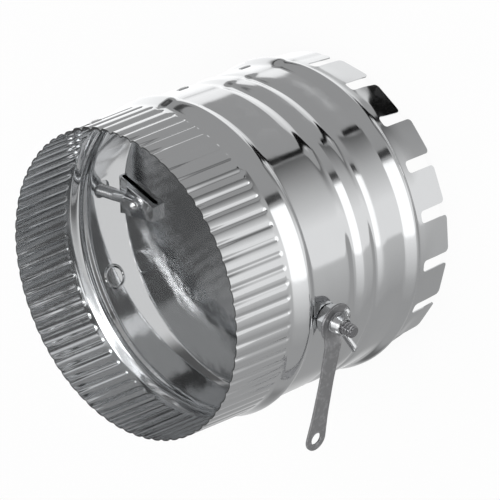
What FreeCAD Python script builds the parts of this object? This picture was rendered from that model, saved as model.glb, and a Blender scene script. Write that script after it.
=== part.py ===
import FreeCAD, Part
import math
import os
from FreeCAD import Vector

# Starting collar with damper, millimetres. Z runs along the duct: the tab ends are at z = 0 and the
# crimped rim is at the top. X runs along the damper pins, with the lever at +X.
OUT = "parts"

# Sheet body, sizes measured on the outside of the sheet.
BODY_R = 76.2                      # nominal 6 inch duct
SHEET_T = 0.6
LENGTH = 139.7
INNER_R = BODY_R - SHEET_T

# Heights along the axis, as shares of the length.
STOP_BEAD_Z = 0.6858 * LENGTH
SHAFT_Z = 0.6013 * LENGTH          # damper axis
WIDE_GROOVE_Z = 0.4667 * LENGTH
NARROW_GROOVE_Z = 0.3636 * LENGTH
FLANGE_BEAD_Z = 0.1732 * LENGTH

# Crimped end.
CRIMP_COUNT = 70
CRIMP_RIM_R = BODY_R - 1.5         # the crimped end draws in so that it slides into the next duct
CRIMP_NECK_R = BODY_R - 0.3
CRIMP_NECK_Z = STOP_BEAD_Z + 8.7
CRIMP_END_Z = CRIMP_NECK_Z + 2.1   # lower end of the grooves
CRIMP_PHASE = 2.8                  # degrees
CRIMP_DEPTH = 1.25
CRIMP_MOUTH_HALF = 1.5             # half width of a groove at the surface
CRIMP_FLOOR_HALF = 0.55
CRIMP_END_RUN = 1.6                # length of the sloped end of a groove

# Stop bead between the crimps and the plain band.
STOP_BEAD_R = BODY_R + 1.9
STOP_BEAD_FOOT_Z = STOP_BEAD_Z - 3.9

# Two grooves rolled inwards below the pins, and the bead that seats on the duct wall.
WIDE_GROOVE_HALF = 5.6
WIDE_GROOVE_DEPTH = 1.3
NARROW_GROOVE_HALF = 3.2
NARROW_GROOVE_DEPTH = 0.9
FLANGE_BEAD_TOP_Z = FLANGE_BEAD_Z + 6.0
FLANGE_BEAD_FOOT_Z = FLANGE_BEAD_Z - 3.6
FLANGE_BEAD_R = BODY_R + 2.4

# Tabs.
TAB_COUNT = 19
TAB_PITCH = 18.5                   # degrees, the seam takes what is left of the turn
TAB_FIRST_SLOT = 94.9
TAB_SLOT_W = 6.0
TAB_ROOT_Z = FLANGE_BEAD_FOOT_Z - 3.2
TAB_ROOT_R = 1.9
TAB_CORNER_R = 2.2
TAB_END_R = BODY_R - 1.0           # the tabs lean in a little

# Lap seam with clinched buttons.
SEAM_EDGE = 121.5                  # degrees
SEAM_START = 105.5
CLINCH_ANGLE = 116.0
CLINCH_Z = (LENGTH - 9.2, SHAFT_Z - 8.5, FLANGE_BEAD_TOP_Z + 4.3)
CLINCH_LEN = 7.0
CLINCH_W = 3.2
CLINCH_RISE = 0.5
CLINCH_CORNER_R = 0.9

# Pins.
PIN_R = 3.175                      # quarter inch thread
PIN_RUN_GAP = 0.06                 # running clearance in the lever side hole
PIN_CHAMFER = 0.7
TAIL_HOLE_R = 4.4                  # the tail hole is oversize and the pin rests on its lower edge
TAIL_HOLE_RISE = TAIL_HOLE_R - PIN_R - PIN_RUN_GAP
STAMP_ANGLE = 214.0                # plain round pressing on the wall
STAMP_R = 6.2
STAMP_W = 1.1
STAMP_RISE = 0.45

# Blade.
BLADE_A = BODY_R - 12.2            # half width along the pins
BLADE_B = BODY_R - 2.1             # half width across the pins
BLADE_T = 0.7
BLADE_TILT = 6.5                   # degrees from closed, as in the photograph
FACE_GAP = 0.02

# Clips that hold the pins on the blade.
CLIP_T = 1.0
CLIP_LEN = 25.0
CLIP_OUTER_HALF = 10.4
CLIP_INNER_HALF = 4.1
STRAP_X0 = BLADE_A - 12.5
STRAP_X1 = BLADE_A - 5.0
STRAP_T = 1.0
PRONG_W = 2.4
PRONG_RISE = 0.9
PRONG_GAP = 0.15

# Lever hardware, along X from the wall outwards.
WALL_GAP = 0.3
NUT_AF = 12.7
NUT_T = 4.7
NUT_X0 = BODY_R + WALL_GAP
NUT_CHAMFER = 0.9
LEVER_T = 1.2
DISH_DEPTH = 1.5
DISH_FLOOR_R = 5.9
DISH_R = 9.2
LEVER_LEN = 60.0                   # pin centre to hanging hole centre
LEVER_OFFSET = 12.5                # degrees the lever is turned on its pin from the line of the blade
LEVER_NECK_HALF = 5.2
LEVER_WAIST_HALF = 4.5
LEVER_TIP_R = 6.1
LEVER_HOLE_R = 3.1
WASHER_T = 1.2
WASHER_R = 5.3
WASHER_SLIT = 1.0
WING_HUB_R = 5.4
WING_TOP_R = 4.5
WING_HUB_T = 4.6
EAR_T = 1.7
EAR_REACH = 10.2
EAR_LEN = 9.4
EAR_W = 4.6
WING_ANGLE = 20.0

# Where the pins start and end.
PIN_INNER_X = STRAP_X0 - 1.0
PIN_OUTER_X = BODY_R + 17.8
TAIL_OUTER_X = NUT_X0 + NUT_T + 3.3

PLATE_TOP = -(PIN_R + FACE_GAP)
BLADE_TOP = PLATE_TOP - CLIP_T - FACE_GAP
BLADE_BOTTOM = BLADE_TOP - BLADE_T
LEVER_X0 = NUT_X0 + NUT_T + FACE_GAP
WASHER_X0 = LEVER_X0 + LEVER_T + FACE_GAP
WING_X0 = WASHER_X0 + WASHER_T + FACE_GAP

ORIGIN = Vector(0, 0, 0)
AXIS_X = Vector(1, 0, 0)
AXIS_Z = Vector(0, 0, 1)


def polar(radius, degrees, z=0.0):
    """Point at a radius and an angle about the duct axis."""
    a = math.radians(degrees)
    return Vector(radius * math.cos(a), radius * math.sin(a), z)


def bend_edge(points):
    """Round bend through three (r, z) points."""
    return Part.Arc(*[Vector(r, 0, z) for r, z in points]).toShape()


def line_edge(a, b):
    """Straight edge between two (r, z) points."""
    return Part.makeLine(Vector(a[0], 0, a[1]), Vector(b[0], 0, b[1]))


def wall_edges(inset):
    """Edges of the wall profile from the tab ends up to the rim, drawn in by inset."""
    body = BODY_R - inset
    bead = FLANGE_BEAD_R - inset
    stop = STOP_BEAD_R - inset
    neck = (CRIMP_NECK_R - inset, CRIMP_NECK_Z)
    edges = []
    path = [(TAB_END_R - inset, 0.0)]

    def straight(r, z):
        edges.append(line_edge(path[-1], (r, z)))
        path.append((r, z))

    def bend(middle, end):
        edges.append(bend_edge([path[-1], middle, end]))
        path.append(end)

    def groove(z, half, depth):
        straight(body, z - half)
        straight(body - 0.6 * depth, z - 0.45 * half)
        bend((body - depth, z), (body - 0.6 * depth, z + 0.45 * half))
        straight(body, z + half)

    straight(body, TAB_ROOT_Z)
    straight(body, FLANGE_BEAD_FOOT_Z)
    rise = bead - body
    foot_run = FLANGE_BEAD_Z - FLANGE_BEAD_FOOT_Z
    top_run = FLANGE_BEAD_TOP_Z - FLANGE_BEAD_Z
    straight(body + 0.6 * rise, FLANGE_BEAD_FOOT_Z + 0.36 * foot_run)
    bend((bead, FLANGE_BEAD_Z), (body + 0.6 * rise, FLANGE_BEAD_Z + 0.48 * top_run))
    straight(body, FLANGE_BEAD_TOP_Z)
    groove(NARROW_GROOVE_Z, NARROW_GROOVE_HALF, NARROW_GROOVE_DEPTH)
    groove(WIDE_GROOVE_Z, WIDE_GROOVE_HALF, WIDE_GROOVE_DEPTH)
    straight(body, STOP_BEAD_FOOT_Z)
    rise = stop - body
    foot_run = STOP_BEAD_Z - STOP_BEAD_FOOT_Z
    top_run = CRIMP_NECK_Z - STOP_BEAD_Z
    straight(body + 0.55 * rise, STOP_BEAD_FOOT_Z + 0.44 * foot_run)
    bend((stop, STOP_BEAD_Z), (body + 0.7 * rise, STOP_BEAD_Z + 0.345 * top_run))
    straight(*neck)
    straight(CRIMP_RIM_R - inset, LENGTH)
    return edges


def wall_radius(z):
    """Outside radius of the crimped end and of the plain wall."""
    if z < CRIMP_NECK_Z:
        return BODY_R
    along = (z - CRIMP_NECK_Z) / (LENGTH - CRIMP_NECK_Z)
    return CRIMP_NECK_R + along * (CRIMP_RIM_R - CRIMP_NECK_R)


def drum(inset, start=0.0, sweep=360.0):
    """Solid of revolution bounded by the wall profile, from the duct axis out."""
    edges = wall_edges(inset)
    foot = Vector(TAB_END_R - inset, 0, 0)
    top = Vector(CRIMP_RIM_R - inset, 0, LENGTH)
    core = 0.5 * BODY_R if sweep < 360.0 else 0.0
    closing = [Part.makeLine(top, Vector(core, 0, LENGTH)),
               Part.makeLine(Vector(core, 0, LENGTH), Vector(core, 0, 0)),
               Part.makeLine(Vector(core, 0, 0), foot)]
    face = Part.Face(Part.Wire(edges + closing))
    solid = face.revolve(ORIGIN, AXIS_Z, sweep)
    if start:
        solid.rotate(ORIGIN, AXIS_Z, start)
    return solid


def lap_layer():
    """Outer layer of the lap seam, one sheet thickness proud of the body."""
    return drum(-SHEET_T, SEAM_START, SEAM_EDGE - SEAM_START)


def crimp_tool(offset):
    """Trough with sloped sides and a sloped lower end, grown by offset on every face."""
    taper = math.atan2(CRIMP_NECK_R - CRIMP_RIM_R, LENGTH - CRIMP_NECK_Z)
    along = Vector(-math.sin(taper), 0, math.cos(taper))
    outward = Vector(math.cos(taper), 0, math.sin(taper))
    side_run = (CRIMP_MOUTH_HALF - CRIMP_FLOOR_HALF) / CRIMP_DEPTH
    end_run = CRIMP_END_RUN / CRIMP_DEPTH
    foot = Vector(wall_radius(CRIMP_END_Z), 0, CRIMP_END_Z)
    reach = LENGTH - CRIMP_END_Z + CRIMP_END_RUN

    def ring(depth):
        half = CRIMP_MOUTH_HALF - side_run * depth + offset * math.sqrt(1.0 + side_run ** 2)
        start = end_run * depth - offset * math.sqrt(1.0 + end_run ** 2)
        corners = [(start, -half), (start, half), (reach, half), (reach, -half)]
        return [foot + along * s - outward * depth + Vector(0, y, 0) for s, y in corners]

    top = ring(-CRIMP_DEPTH)
    floor = ring(CRIMP_DEPTH + offset)
    sides = [[top[i], top[(i + 1) % 4], floor[(i + 1) % 4], floor[i]] for i in range(4)]
    faces = [Part.Face(Part.makePolygon(loop + [loop[0]])) for loop in [top, floor] + sides]
    return Part.Solid(Part.Shell(faces))


def crimp_tools(offset):
    """All the crimp troughs round the end."""
    one = crimp_tool(offset)
    tools = []
    for i in range(CRIMP_COUNT):
        tool = one.copy()
        tool.rotate(ORIGIN, AXIS_Z, CRIMP_PHASE + 360.0 * i / CRIMP_COUNT)
        tools.append(tool)
    return Part.makeCompound(tools)


def slot_tool(angle):
    """Cutter for one slot between two tabs, with a rounded root and rounded tab corners."""
    half = TAB_SLOT_W / 2.0
    root = TAB_ROOT_Z
    r = TAB_ROOT_R
    c = TAB_CORNER_R
    k = math.sqrt(0.5)
    right = [Vector(0, half + c, -c), Vector(0, half + c, 0), Vector(0, half, c), Vector(0, half, root - r),
             Vector(0, half - r, root)]
    left = [Vector(0, -p.y, p.z) for p in reversed(right)]
    edges = [Part.makeLine(right[0], right[1]),
             Part.Arc(right[1], Vector(0, half + c - c * k, c - c * k), right[2]).toShape(),
             Part.makeLine(right[2], right[3]),
             Part.Arc(right[3], Vector(0, half - r + r * k, root - r + r * k), right[4]).toShape(),
             Part.makeLine(right[4], left[0]),
             Part.Arc(left[0], Vector(0, -(half - r + r * k), root - r + r * k), left[1]).toShape(),
             Part.makeLine(left[1], left[2]),
             Part.Arc(left[2], Vector(0, -(half + c - c * k), c - c * k), left[3]).toShape(),
             Part.makeLine(left[3], left[4]), Part.makeLine(left[4], right[0])]
    tool = Part.Face(Part.Wire(edges)).extrude(Vector(0.2 * BODY_R, 0, 0))
    tool.translate(Vector(0.9 * BODY_R, 0, 0))
    tool.rotate(ORIGIN, AXIS_Z, angle)
    return tool


def clinch_button(z):
    """Raised button where the two layers of the seam are locked together."""
    top = wall_radius(z) + SHEET_T + CLINCH_RISE
    depth = CLINCH_RISE + 0.5 * SHEET_T
    pad = Part.makeBox(depth, CLINCH_W, CLINCH_LEN, Vector(top - depth, -CLINCH_W / 2.0, z - CLINCH_LEN / 2.0))
    pad = pad.makeFillet(CLINCH_CORNER_R, [e for e in pad.Edges if abs(e.tangentAt(e.FirstParameter).x) > 0.9])
    nick = Part.makeBox(depth, CLINCH_W * 0.36, CLINCH_LEN * 0.62,
                        Vector(top - 0.8 * CLINCH_RISE, -CLINCH_W * 0.18, z - CLINCH_LEN * 0.31))
    pad = pad.cut(nick)
    pad.rotate(ORIGIN, AXIS_Z, CLINCH_ANGLE)
    return pad


def wall_stamp():
    """Plain ring pressed into the wall from outside, seen inside as a low round pad."""
    start = Vector(INNER_R - STAMP_RISE, 0, SHAFT_Z)
    ring = Part.makeCylinder(STAMP_R, STAMP_R, start, AXIS_X)
    ring = ring.cut(Part.makeCylinder(STAMP_R - STAMP_W, STAMP_R, start, AXIS_X))
    ring = ring.common(Part.makeCylinder(BODY_R - 0.2 * SHEET_T, LENGTH))
    ring.rotate(ORIGIN, AXIS_Z, STAMP_ANGLE)
    return ring


def pin_holes():
    """Close hole at the lever side and oversize hole at the tail side."""
    reach = 0.2 * BODY_R
    close = Part.makeCylinder(PIN_R + PIN_RUN_GAP, reach, Vector(0.9 * BODY_R, 0, SHAFT_Z), AXIS_X)
    loose = Part.makeCylinder(TAIL_HOLE_R, reach, Vector(-1.1 * BODY_R, TAIL_HOLE_RISE, SHAFT_Z), AXIS_X)
    return [close, loose]


def collar_sleeve():
    """The rolled sheet body as one solid."""
    outer = drum(0.0).fuse(lap_layer())
    outer = outer.cut(crimp_tools(0.0))
    inner = drum(SHEET_T).cut(crimp_tools(SHEET_T))
    shell = outer.cut(inner)
    slots = [slot_tool(TAB_FIRST_SLOT - TAB_PITCH * i) for i in range(TAB_COUNT)]
    shell = shell.cut(Part.makeCompound(slots))
    for z in CLINCH_Z:
        shell = shell.fuse(clinch_button(z))
    shell = shell.fuse(wall_stamp())
    for hole in pin_holes():
        shell = shell.cut(hole)
    return shell.Solids[0] if len(shell.Solids) == 1 else shell


def threaded_pin(inner_x, outer_x, side):
    """Round pin along X with a chamfered outer end."""
    pin = Part.makeCylinder(PIN_R, outer_x - inner_x - PIN_CHAMFER, Vector(inner_x, 0, 0), AXIS_X)
    tip = Part.makeCone(PIN_R, PIN_R - PIN_CHAMFER, PIN_CHAMFER, Vector(outer_x - PIN_CHAMFER, 0, 0), AXIS_X)
    pin = pin.fuse(tip).removeSplitter()
    if side < 0:
        pin.rotate(ORIGIN, AXIS_Z, 180.0)
    return pin


def prong_slots(grow):
    """Slits in the blade for the prongs of both clips."""
    slots = []
    x0 = BLADE_A - CLIP_LEN + 0.6 * CLIP_T
    y0 = -CLIP_INNER_HALF + 0.5 * CLIP_T
    low = BLADE_BOTTOM - FACE_GAP - CLIP_T
    high = PLATE_TOP + PRONG_RISE
    for side in (1, -1):
        corner = Vector(x0 - grow, y0 - grow, low)
        slot = Part.makeBox(CLIP_T + 2 * grow, PRONG_W + 2 * grow, high - low, corner)
        if side < 0:
            slot.rotate(ORIGIN, AXIS_Z, 180.0)
        slots.append(slot)
    return slots


def damper_blade():
    """Flat oval blade, pierced for the prongs of the clips."""
    rim = Part.Ellipse(ORIGIN, BLADE_B, BLADE_A).toShape()
    rim.rotate(ORIGIN, AXIS_Z, 90.0)
    blade = Part.Face(Part.Wire([rim])).extrude(Vector(0, 0, BLADE_T))
    blade.translate(Vector(0, 0, BLADE_BOTTOM))
    for slot in prong_slots(PRONG_GAP):
        blade = blade.cut(slot)
    return blade


def clip_plate(z, thickness, length):
    """Tapered plate of a clip, from the blade edge inwards."""
    x1 = BLADE_A + FACE_GAP
    x0 = x1 - length
    taper = (CLIP_OUTER_HALF - CLIP_INNER_HALF) / CLIP_LEN
    half = CLIP_OUTER_HALF - taper * length
    points = [Vector(x1, -CLIP_OUTER_HALF, z), Vector(x1, CLIP_OUTER_HALF, z), Vector(x0, half, z),
              Vector(x0, -half, z), Vector(x1, -CLIP_OUTER_HALF, z)]
    return Part.Face(Part.makePolygon(points)).extrude(Vector(0, 0, thickness))


def blade_clip(side):
    """Clip folded round the blade edge, with a strap over the pin and a prong through the blade."""
    bottom = BLADE_BOTTOM - FACE_GAP - CLIP_T
    front = clip_plate(PLATE_TOP - CLIP_T, CLIP_T, CLIP_LEN)
    back = clip_plate(bottom, CLIP_T, CLIP_LEN)
    fold = Part.makeBox(CLIP_T, 2 * CLIP_OUTER_HALF, PLATE_TOP - bottom,
                        Vector(BLADE_A + FACE_GAP, -CLIP_OUTER_HALF, bottom))
    outer_edges = [e for e in fold.Edges if abs(e.tangentAt(e.FirstParameter).y) > 0.9
                   and e.CenterOfMass.x > BLADE_A + 0.8 * CLIP_T]
    fold = fold.makeFillet(0.8 * CLIP_T, outer_edges)
    clip = front.fuse(back).fuse(fold).fuse(prong_slots(0.0)[0])
    strap_r = PIN_R + STRAP_T
    strap = Part.makeCylinder(strap_r, STRAP_X1 - STRAP_X0, Vector(STRAP_X0, 0, 0), AXIS_X)
    dome = Part.makeSphere(strap_r, Vector(STRAP_X0, 0, 0))
    skirt = Part.makeBox(STRAP_X1 - STRAP_X0, 2 * strap_r, -PLATE_TOP,
                         Vector(STRAP_X0, -strap_r, PLATE_TOP))
    low = Vector(STRAP_X0 - 2 * strap_r, -2 * strap_r, PLATE_TOP)
    above = Part.makeBox(BLADE_A, 4 * strap_r, 2 * strap_r, low)
    cover = strap.fuse(dome).fuse(skirt).common(above)
    clip = clip.fuse(cover)
    bore = Part.makeCylinder(PIN_R + FACE_GAP, BLADE_A, Vector(PIN_INNER_X - FACE_GAP, 0, 0), AXIS_X)
    clip = clip.cut(bore).removeSplitter()
    if side < 0:
        clip.rotate(ORIGIN, AXIS_Z, 180.0)
    return clip


def hex_nut(x0, side):
    """Hexagon nut with chamfered corners, its wall face at x0."""
    corner = NUT_AF / math.sqrt(3.0)
    turns = [math.radians(60 * i + 12) for i in range(7)]
    points = [Vector(0, corner * math.cos(a), corner * math.sin(a)) for a in turns]
    nut = Part.Face(Part.makePolygon(points)).extrude(Vector(NUT_T, 0, 0))
    slope = NUT_CHAMFER
    face_r = 0.49 * NUT_AF
    wide_r = face_r + 1.8 * slope
    low = Part.makeCone(face_r, wide_r, slope, ORIGIN, AXIS_X)
    mid = Part.makeCylinder(wide_r, NUT_T - 2 * slope, Vector(slope, 0, 0), AXIS_X)
    high = Part.makeCone(wide_r, face_r, slope, Vector(NUT_T - slope, 0, 0), AXIS_X)
    nut = nut.common(low.fuse(mid).fuse(high))
    nut = nut.cut(Part.makeCylinder(PIN_R + FACE_GAP, 3 * NUT_T, Vector(-NUT_T, 0, 0), AXIS_X))
    nut.translate(Vector(x0, 0, 0))
    if side < 0:
        nut.rotate(ORIGIN, AXIS_Z, 180.0)
    return nut


def lever_outline():
    """Outline of the strip in the lever plane, pin centre at the origin and the tip along +Y."""
    tip = LEVER_LEN
    r = LEVER_TIP_R
    side = Part.BSplineCurve()
    points = [Vector(0, 0, LEVER_NECK_HALF), Vector(0, 1.5 * DISH_R, LEVER_NECK_HALF),
              Vector(0, 0.5 * tip, LEVER_WAIST_HALF), Vector(0, 0.8 * tip, 0.7 * LEVER_WAIST_HALF + 0.3 * r),
              Vector(0, tip, r)]
    side.interpolate(Points=points, InitialTangent=Vector(0, 1, 0), FinalTangent=Vector(0, 1, 0))
    right = side.toShape()
    left = right.mirror(ORIGIN, AXIS_Z)
    end = Part.Arc(Vector(0, tip, r), Vector(0, tip + r, 0), Vector(0, tip, -r)).toShape()
    foot = Part.makeLine(Vector(0, 0, -LEVER_NECK_HALF), Vector(0, 0, LEVER_NECK_HALF))
    return Part.Face(Part.Wire(Part.sortEdges([right, end, left, foot])[0]))


def dished_eye():
    """Round eye of the lever, pressed in towards the wall."""
    t = LEVER_T
    d = DISH_DEPTH
    bore = PIN_R + FACE_GAP
    run = 0.3 * (DISH_R - DISH_FLOOR_R)
    near = [(0, bore), (0, DISH_FLOOR_R), (d, DISH_FLOOR_R + run), (d, DISH_R)]
    far = [(d + t, DISH_R), (d + t, DISH_FLOOR_R + run - 0.38 * t), (t, DISH_FLOOR_R - 0.38 * t), (t, bore)]
    points = [Vector(x, y, 0) for x, y in near + far]
    return Part.Face(Part.makePolygon(points + [points[0]])).revolve(ORIGIN, AXIS_X, 360.0)


def lever_handle():
    """Stamped strip lever with its dished eye and hanging hole."""
    strip = lever_outline().extrude(Vector(LEVER_T, 0, 0))
    strip.translate(Vector(DISH_DEPTH, 0, 0))
    strip = strip.cut(Part.makeCylinder(DISH_R - 0.5 * LEVER_T, 2 * DISH_R, Vector(-DISH_R, 0, 0), AXIS_X))
    strip = strip.cut(Part.makeCylinder(LEVER_HOLE_R, 2 * DISH_R, Vector(-DISH_R, LEVER_LEN, 0), AXIS_X))
    lever = strip.fuse(dished_eye()).removeSplitter()
    lever.rotate(ORIGIN, AXIS_X, 180.0 - LEVER_OFFSET)
    lever.translate(Vector(LEVER_X0, 0, 0))
    return lever


def spring_washer():
    """Split washer under the wing nut."""
    ring = Part.makeCylinder(WASHER_R, WASHER_T, Vector(WASHER_X0, 0, 0), AXIS_X)
    start = Vector(WASHER_X0 - WASHER_T, 0, 0)
    ring = ring.cut(Part.makeCylinder(PIN_R + PIN_RUN_GAP, 3 * WASHER_T, start, AXIS_X))
    slit = Part.makeBox(3 * WASHER_T, WASHER_SLIT, 2 * WASHER_R, start - Vector(0, WASHER_SLIT / 2.0, 0))
    slit.rotate(ORIGIN, AXIS_X, 75.0)
    return ring.cut(slit)


def wing_ear(side):
    """One ear of the wing nut, a rounded bar that leans out from the hub."""
    half = EAR_T / 2.0
    root = 0.5 * (PIN_R + WING_TOP_R) + 0.5 * PIN_RUN_GAP
    tip = EAR_REACH + EAR_W
    outline = [(0.13 * WING_HUB_T, root), (0.13 * WING_HUB_T, WING_HUB_R),
               (0.34 * EAR_LEN, WING_HUB_R + 0.5 * EAR_W), (0.83 * EAR_LEN, tip - 0.13 * EAR_W),
               (EAR_LEN, tip - 0.56 * EAR_W), (EAR_LEN, EAR_REACH),
               (0.9 * WING_HUB_T, root)]
    points = [Vector(x, side * y, 0) for x, y in outline]
    ear = Part.Face(Part.makePolygon(points + [points[0]])).extrude(Vector(0, 0, EAR_T))
    ear.translate(Vector(0, 0, -half))
    rounded = [e for e in ear.Edges
               if abs(e.tangentAt(e.FirstParameter).z) > 0.9 and e.CenterOfMass.x > 0.8 * EAR_LEN]
    return ear.makeFillet(0.5 * EAR_T, rounded)


def wing_nut():
    """Hub with two ears, turned as in the photograph."""
    hub = Part.makeCone(WING_HUB_R, WING_TOP_R, WING_HUB_T, ORIGIN, AXIS_X)
    nut = hub.fuse(wing_ear(1)).fuse(wing_ear(-1))
    bore = Part.makeCylinder(PIN_R + PIN_RUN_GAP, 3 * EAR_LEN, Vector(-EAR_LEN, 0, 0), AXIS_X)
    nut = nut.cut(bore).removeSplitter()
    nut.rotate(ORIGIN, AXIS_X, WING_ANGLE)
    nut.translate(Vector(WING_X0, 0, 0))
    return nut


def place(shape, tilt):
    """Turn a piece of the damper about the pins and lift it to the pin height."""
    shape.rotate(ORIGIN, AXIS_X, tilt)
    shape.translate(Vector(0, 0, SHAFT_Z))
    return shape


def build():
    """Make every piece in its place at rest."""
    pieces = {"collar_sleeve": collar_sleeve()}
    turning = {
        "damper_blade": damper_blade(),
        "lever_clip": blade_clip(1),
        "tail_clip": blade_clip(-1),
        "lever_pin": threaded_pin(PIN_INNER_X, PIN_OUTER_X, 1),
        "tail_pin": threaded_pin(PIN_INNER_X, TAIL_OUTER_X, -1),
        "lever_nut": hex_nut(NUT_X0, 1),
        "tail_nut": hex_nut(NUT_X0, -1),
        "lever_handle": lever_handle(),
    }
    for name, shape in turning.items():
        pieces[name] = place(shape, BLADE_TILT)
    pieces["spring_washer"] = place(spring_washer(), 0.0)
    pieces["wing_nut"] = place(wing_nut(), 0.0)
    return pieces


os.makedirs(OUT, exist_ok=True)
for node, shape in build().items():
    box = shape.BoundBox
    print(node, "solids", len(shape.Solids), "valid", shape.isValid(), "volume", round(shape.Volume, 1),
          "x", round(box.XMin, 2), round(box.XMax, 2), "y", round(box.YMin, 2), round(box.YMax, 2),
          "z", round(box.ZMin, 2), round(box.ZMax, 2))
    shape.exportStep(os.path.join(OUT, node + ".step"))
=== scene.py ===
import logging
import math
from dataclasses import dataclass, field
from enum import Enum
from typing import Dict, List, Optional, Sequence, Tuple, Union

import bmesh
import bpy
import numpy as np
from mathutils import Matrix, Vector


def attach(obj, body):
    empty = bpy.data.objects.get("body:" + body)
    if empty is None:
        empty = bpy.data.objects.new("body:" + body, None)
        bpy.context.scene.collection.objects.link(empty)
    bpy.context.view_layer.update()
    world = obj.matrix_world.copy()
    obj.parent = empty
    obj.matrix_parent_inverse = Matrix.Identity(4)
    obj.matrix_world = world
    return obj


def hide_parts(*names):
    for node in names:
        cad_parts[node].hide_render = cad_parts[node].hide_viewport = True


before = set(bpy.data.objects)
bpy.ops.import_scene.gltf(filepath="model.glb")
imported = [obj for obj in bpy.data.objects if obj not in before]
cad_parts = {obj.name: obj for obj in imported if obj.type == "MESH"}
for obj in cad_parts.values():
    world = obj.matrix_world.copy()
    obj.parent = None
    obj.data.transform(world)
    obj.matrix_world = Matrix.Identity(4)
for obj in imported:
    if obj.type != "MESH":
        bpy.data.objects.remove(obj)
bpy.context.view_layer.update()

LOG = logging.getLogger("starting_collar")
MM = 0.001
MM_PER_METRE = 1000.0
Colour = Tuple[float, float, float]
Tone = Tuple[float, ...]
Array = np.ndarray
Material = bpy.types.Material
Object = bpy.types.Object
Pairs = Sequence[Tuple[float, float]]
Settings = Optional[Dict[str, object]]
Inputs = Optional[Dict[Union[str, int], object]]


# Shader maths


class Graph:
    """Builds one node tree and hands out wrapped sockets."""

    def __init__(self, tree: bpy.types.NodeTree) -> None:
        """Start with an empty tree.

        Args:
            tree: the node tree of a material or world.
        """
        self.tree = tree
        tree.nodes.clear()

    def node(self, kind: str, settings: Settings = None, inputs: Inputs = None) -> bpy.types.Node:
        """Add any node.

        Args:
            kind: the node's type name.
            settings: properties that are set before the sockets are filled.
            inputs: socket name or index to a value, a Field or a socket.

        Returns:
            The new node.
        """
        made = self.tree.nodes.new(kind)
        for name, value in (settings or {}).items():
            setattr(made, name, value)
        for name, value in (inputs or {}).items():
            socket = made.inputs[name]
            if isinstance(value, Field):
                self.tree.links.new(value.socket, socket)
            elif isinstance(value, bpy.types.NodeSocket):
                self.tree.links.new(value, socket)
            else:
                socket.default_value = value
        return made

    def field(self, kind: str, settings: Settings = None, inputs: Inputs = None,
              output: Union[str, int] = 0) -> "Field":
        """Add a node and wrap one of its outputs.

        Args:
            kind: the node's type name.
            settings: properties that are set first.
            inputs: socket name or index to its value or link.
            output: which output to wrap.

        Returns:
            The wrapped output.
        """
        return Field(self, self.node(kind, settings, inputs).outputs[output])

    def mix(self, factor: Union["Field", float], a: object, b: object) -> "Field":
        """Blend two colours.

        Args:
            factor: 0 gives a and 1 gives b.
            a: colour, Field or socket.
            b: colour, Field or socket.

        Returns:
            The blended colour.
        """
        made = self.node("ShaderNodeMix", {"data_type": "RGBA"}, {0: factor, 6: a, 7: b})
        return Field(self, made.outputs[2])

    def vector(self, operation: str, a: object, b: object) -> "Field":
        """Vector Math on two vectors.

        Args:
            operation: name of the operation.
            a: vector, Field or socket.
            b: vector, Field or socket.

        Returns:
            The resulting vector.
        """
        return self.field("ShaderNodeVectorMath", {"operation": operation}, {0: a, 1: b})

    def split(self, vector: "Field") -> Tuple["Field", "Field", "Field"]:
        """Split a vector into its three parts."""
        made = self.node("ShaderNodeSeparateXYZ", None, {0: vector})
        return tuple(Field(self, made.outputs[i]) for i in range(3))

    def join(self, x: object, y: object, z: object) -> "Field":
        """Join three values into a vector."""
        return self.field("ShaderNodeCombineXYZ", None, {0: x, 1: y, 2: z})

    def scaled(self, vector: "Field", share: float) -> "Field":
        """A vector times one number."""
        return self.vector("MULTIPLY", vector, (share,) * 3)

    def millimetres(self) -> "Field":
        """The place on the object in millimetres."""
        return self.scaled(self.field("ShaderNodeTexCoord", output="Object"), MM_PER_METRE)

    def noise(self, place: "Field", size: float, detail: float, coarse: float = 0.5) -> "Field":
        """Noise with features of a given size.

        Args:
            place: where it is read.
            size: size of its features, in the units of the place.
            detail: how many finer layers it has.
            coarse: how strong the finer layers are.

        Returns:
            A value between 0 and 1.
        """
        return self.field("ShaderNodeTexNoise", None, {"Vector": self.scaled(place, 1 / size), "Scale": 1.0,
                                                       "Detail": detail, "Roughness": coarse})

    def metal(self, colour: "Field", metallic: float, rough: "Field", height: "Field") -> None:
        """Finish a metal material.

        Args:
            colour: its colour.
            metallic: how metallic it is, 0 to 1.
            rough: its roughness.
            height: its relief in millimetres.
        """
        bump = self.field("ShaderNodeBump", None, {"Strength": 1.0, "Distance": MM, "Height": height},
                          "Normal")
        self.finish("Material", self.node("ShaderNodeBsdfPrincipled", None, {
            "Base Color": colour, "Metallic": metallic, "Roughness": rough, "Normal": bump}))

    def light(self, kind: str, colour: object, strength: object = 1.0) -> bpy.types.Node:
        """A glowing node, Emission for a surface or Background for the world."""
        return self.node("ShaderNode" + kind, None, {"Color": colour, "Strength": strength})

    def seen_as(self, share: float, plain: bpy.types.Node, to_camera: bpy.types.Node) -> bpy.types.Node:
        """Show one shader to the camera and another to everything else.

        Args:
            share: how much of the camera's shader it gets.
            plain: what all other rays meet.
            to_camera: what the camera meets.

        Returns:
            The mixed shader.
        """
        camera = Field(self, self.node("ShaderNodeLightPath").outputs["Is Camera Ray"])
        return self.node("ShaderNodeMixShader", None, {
            0: camera * share, 1: plain.outputs[0], 2: to_camera.outputs[0]})

    def finish(self, kind: str, shader: bpy.types.Node) -> None:
        """Join a shader to the output of a Material or the World."""
        self.node("ShaderNodeOutput" + kind, None, {"Surface": shader.outputs[0]})


Number = Union["Field", float, int]


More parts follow.
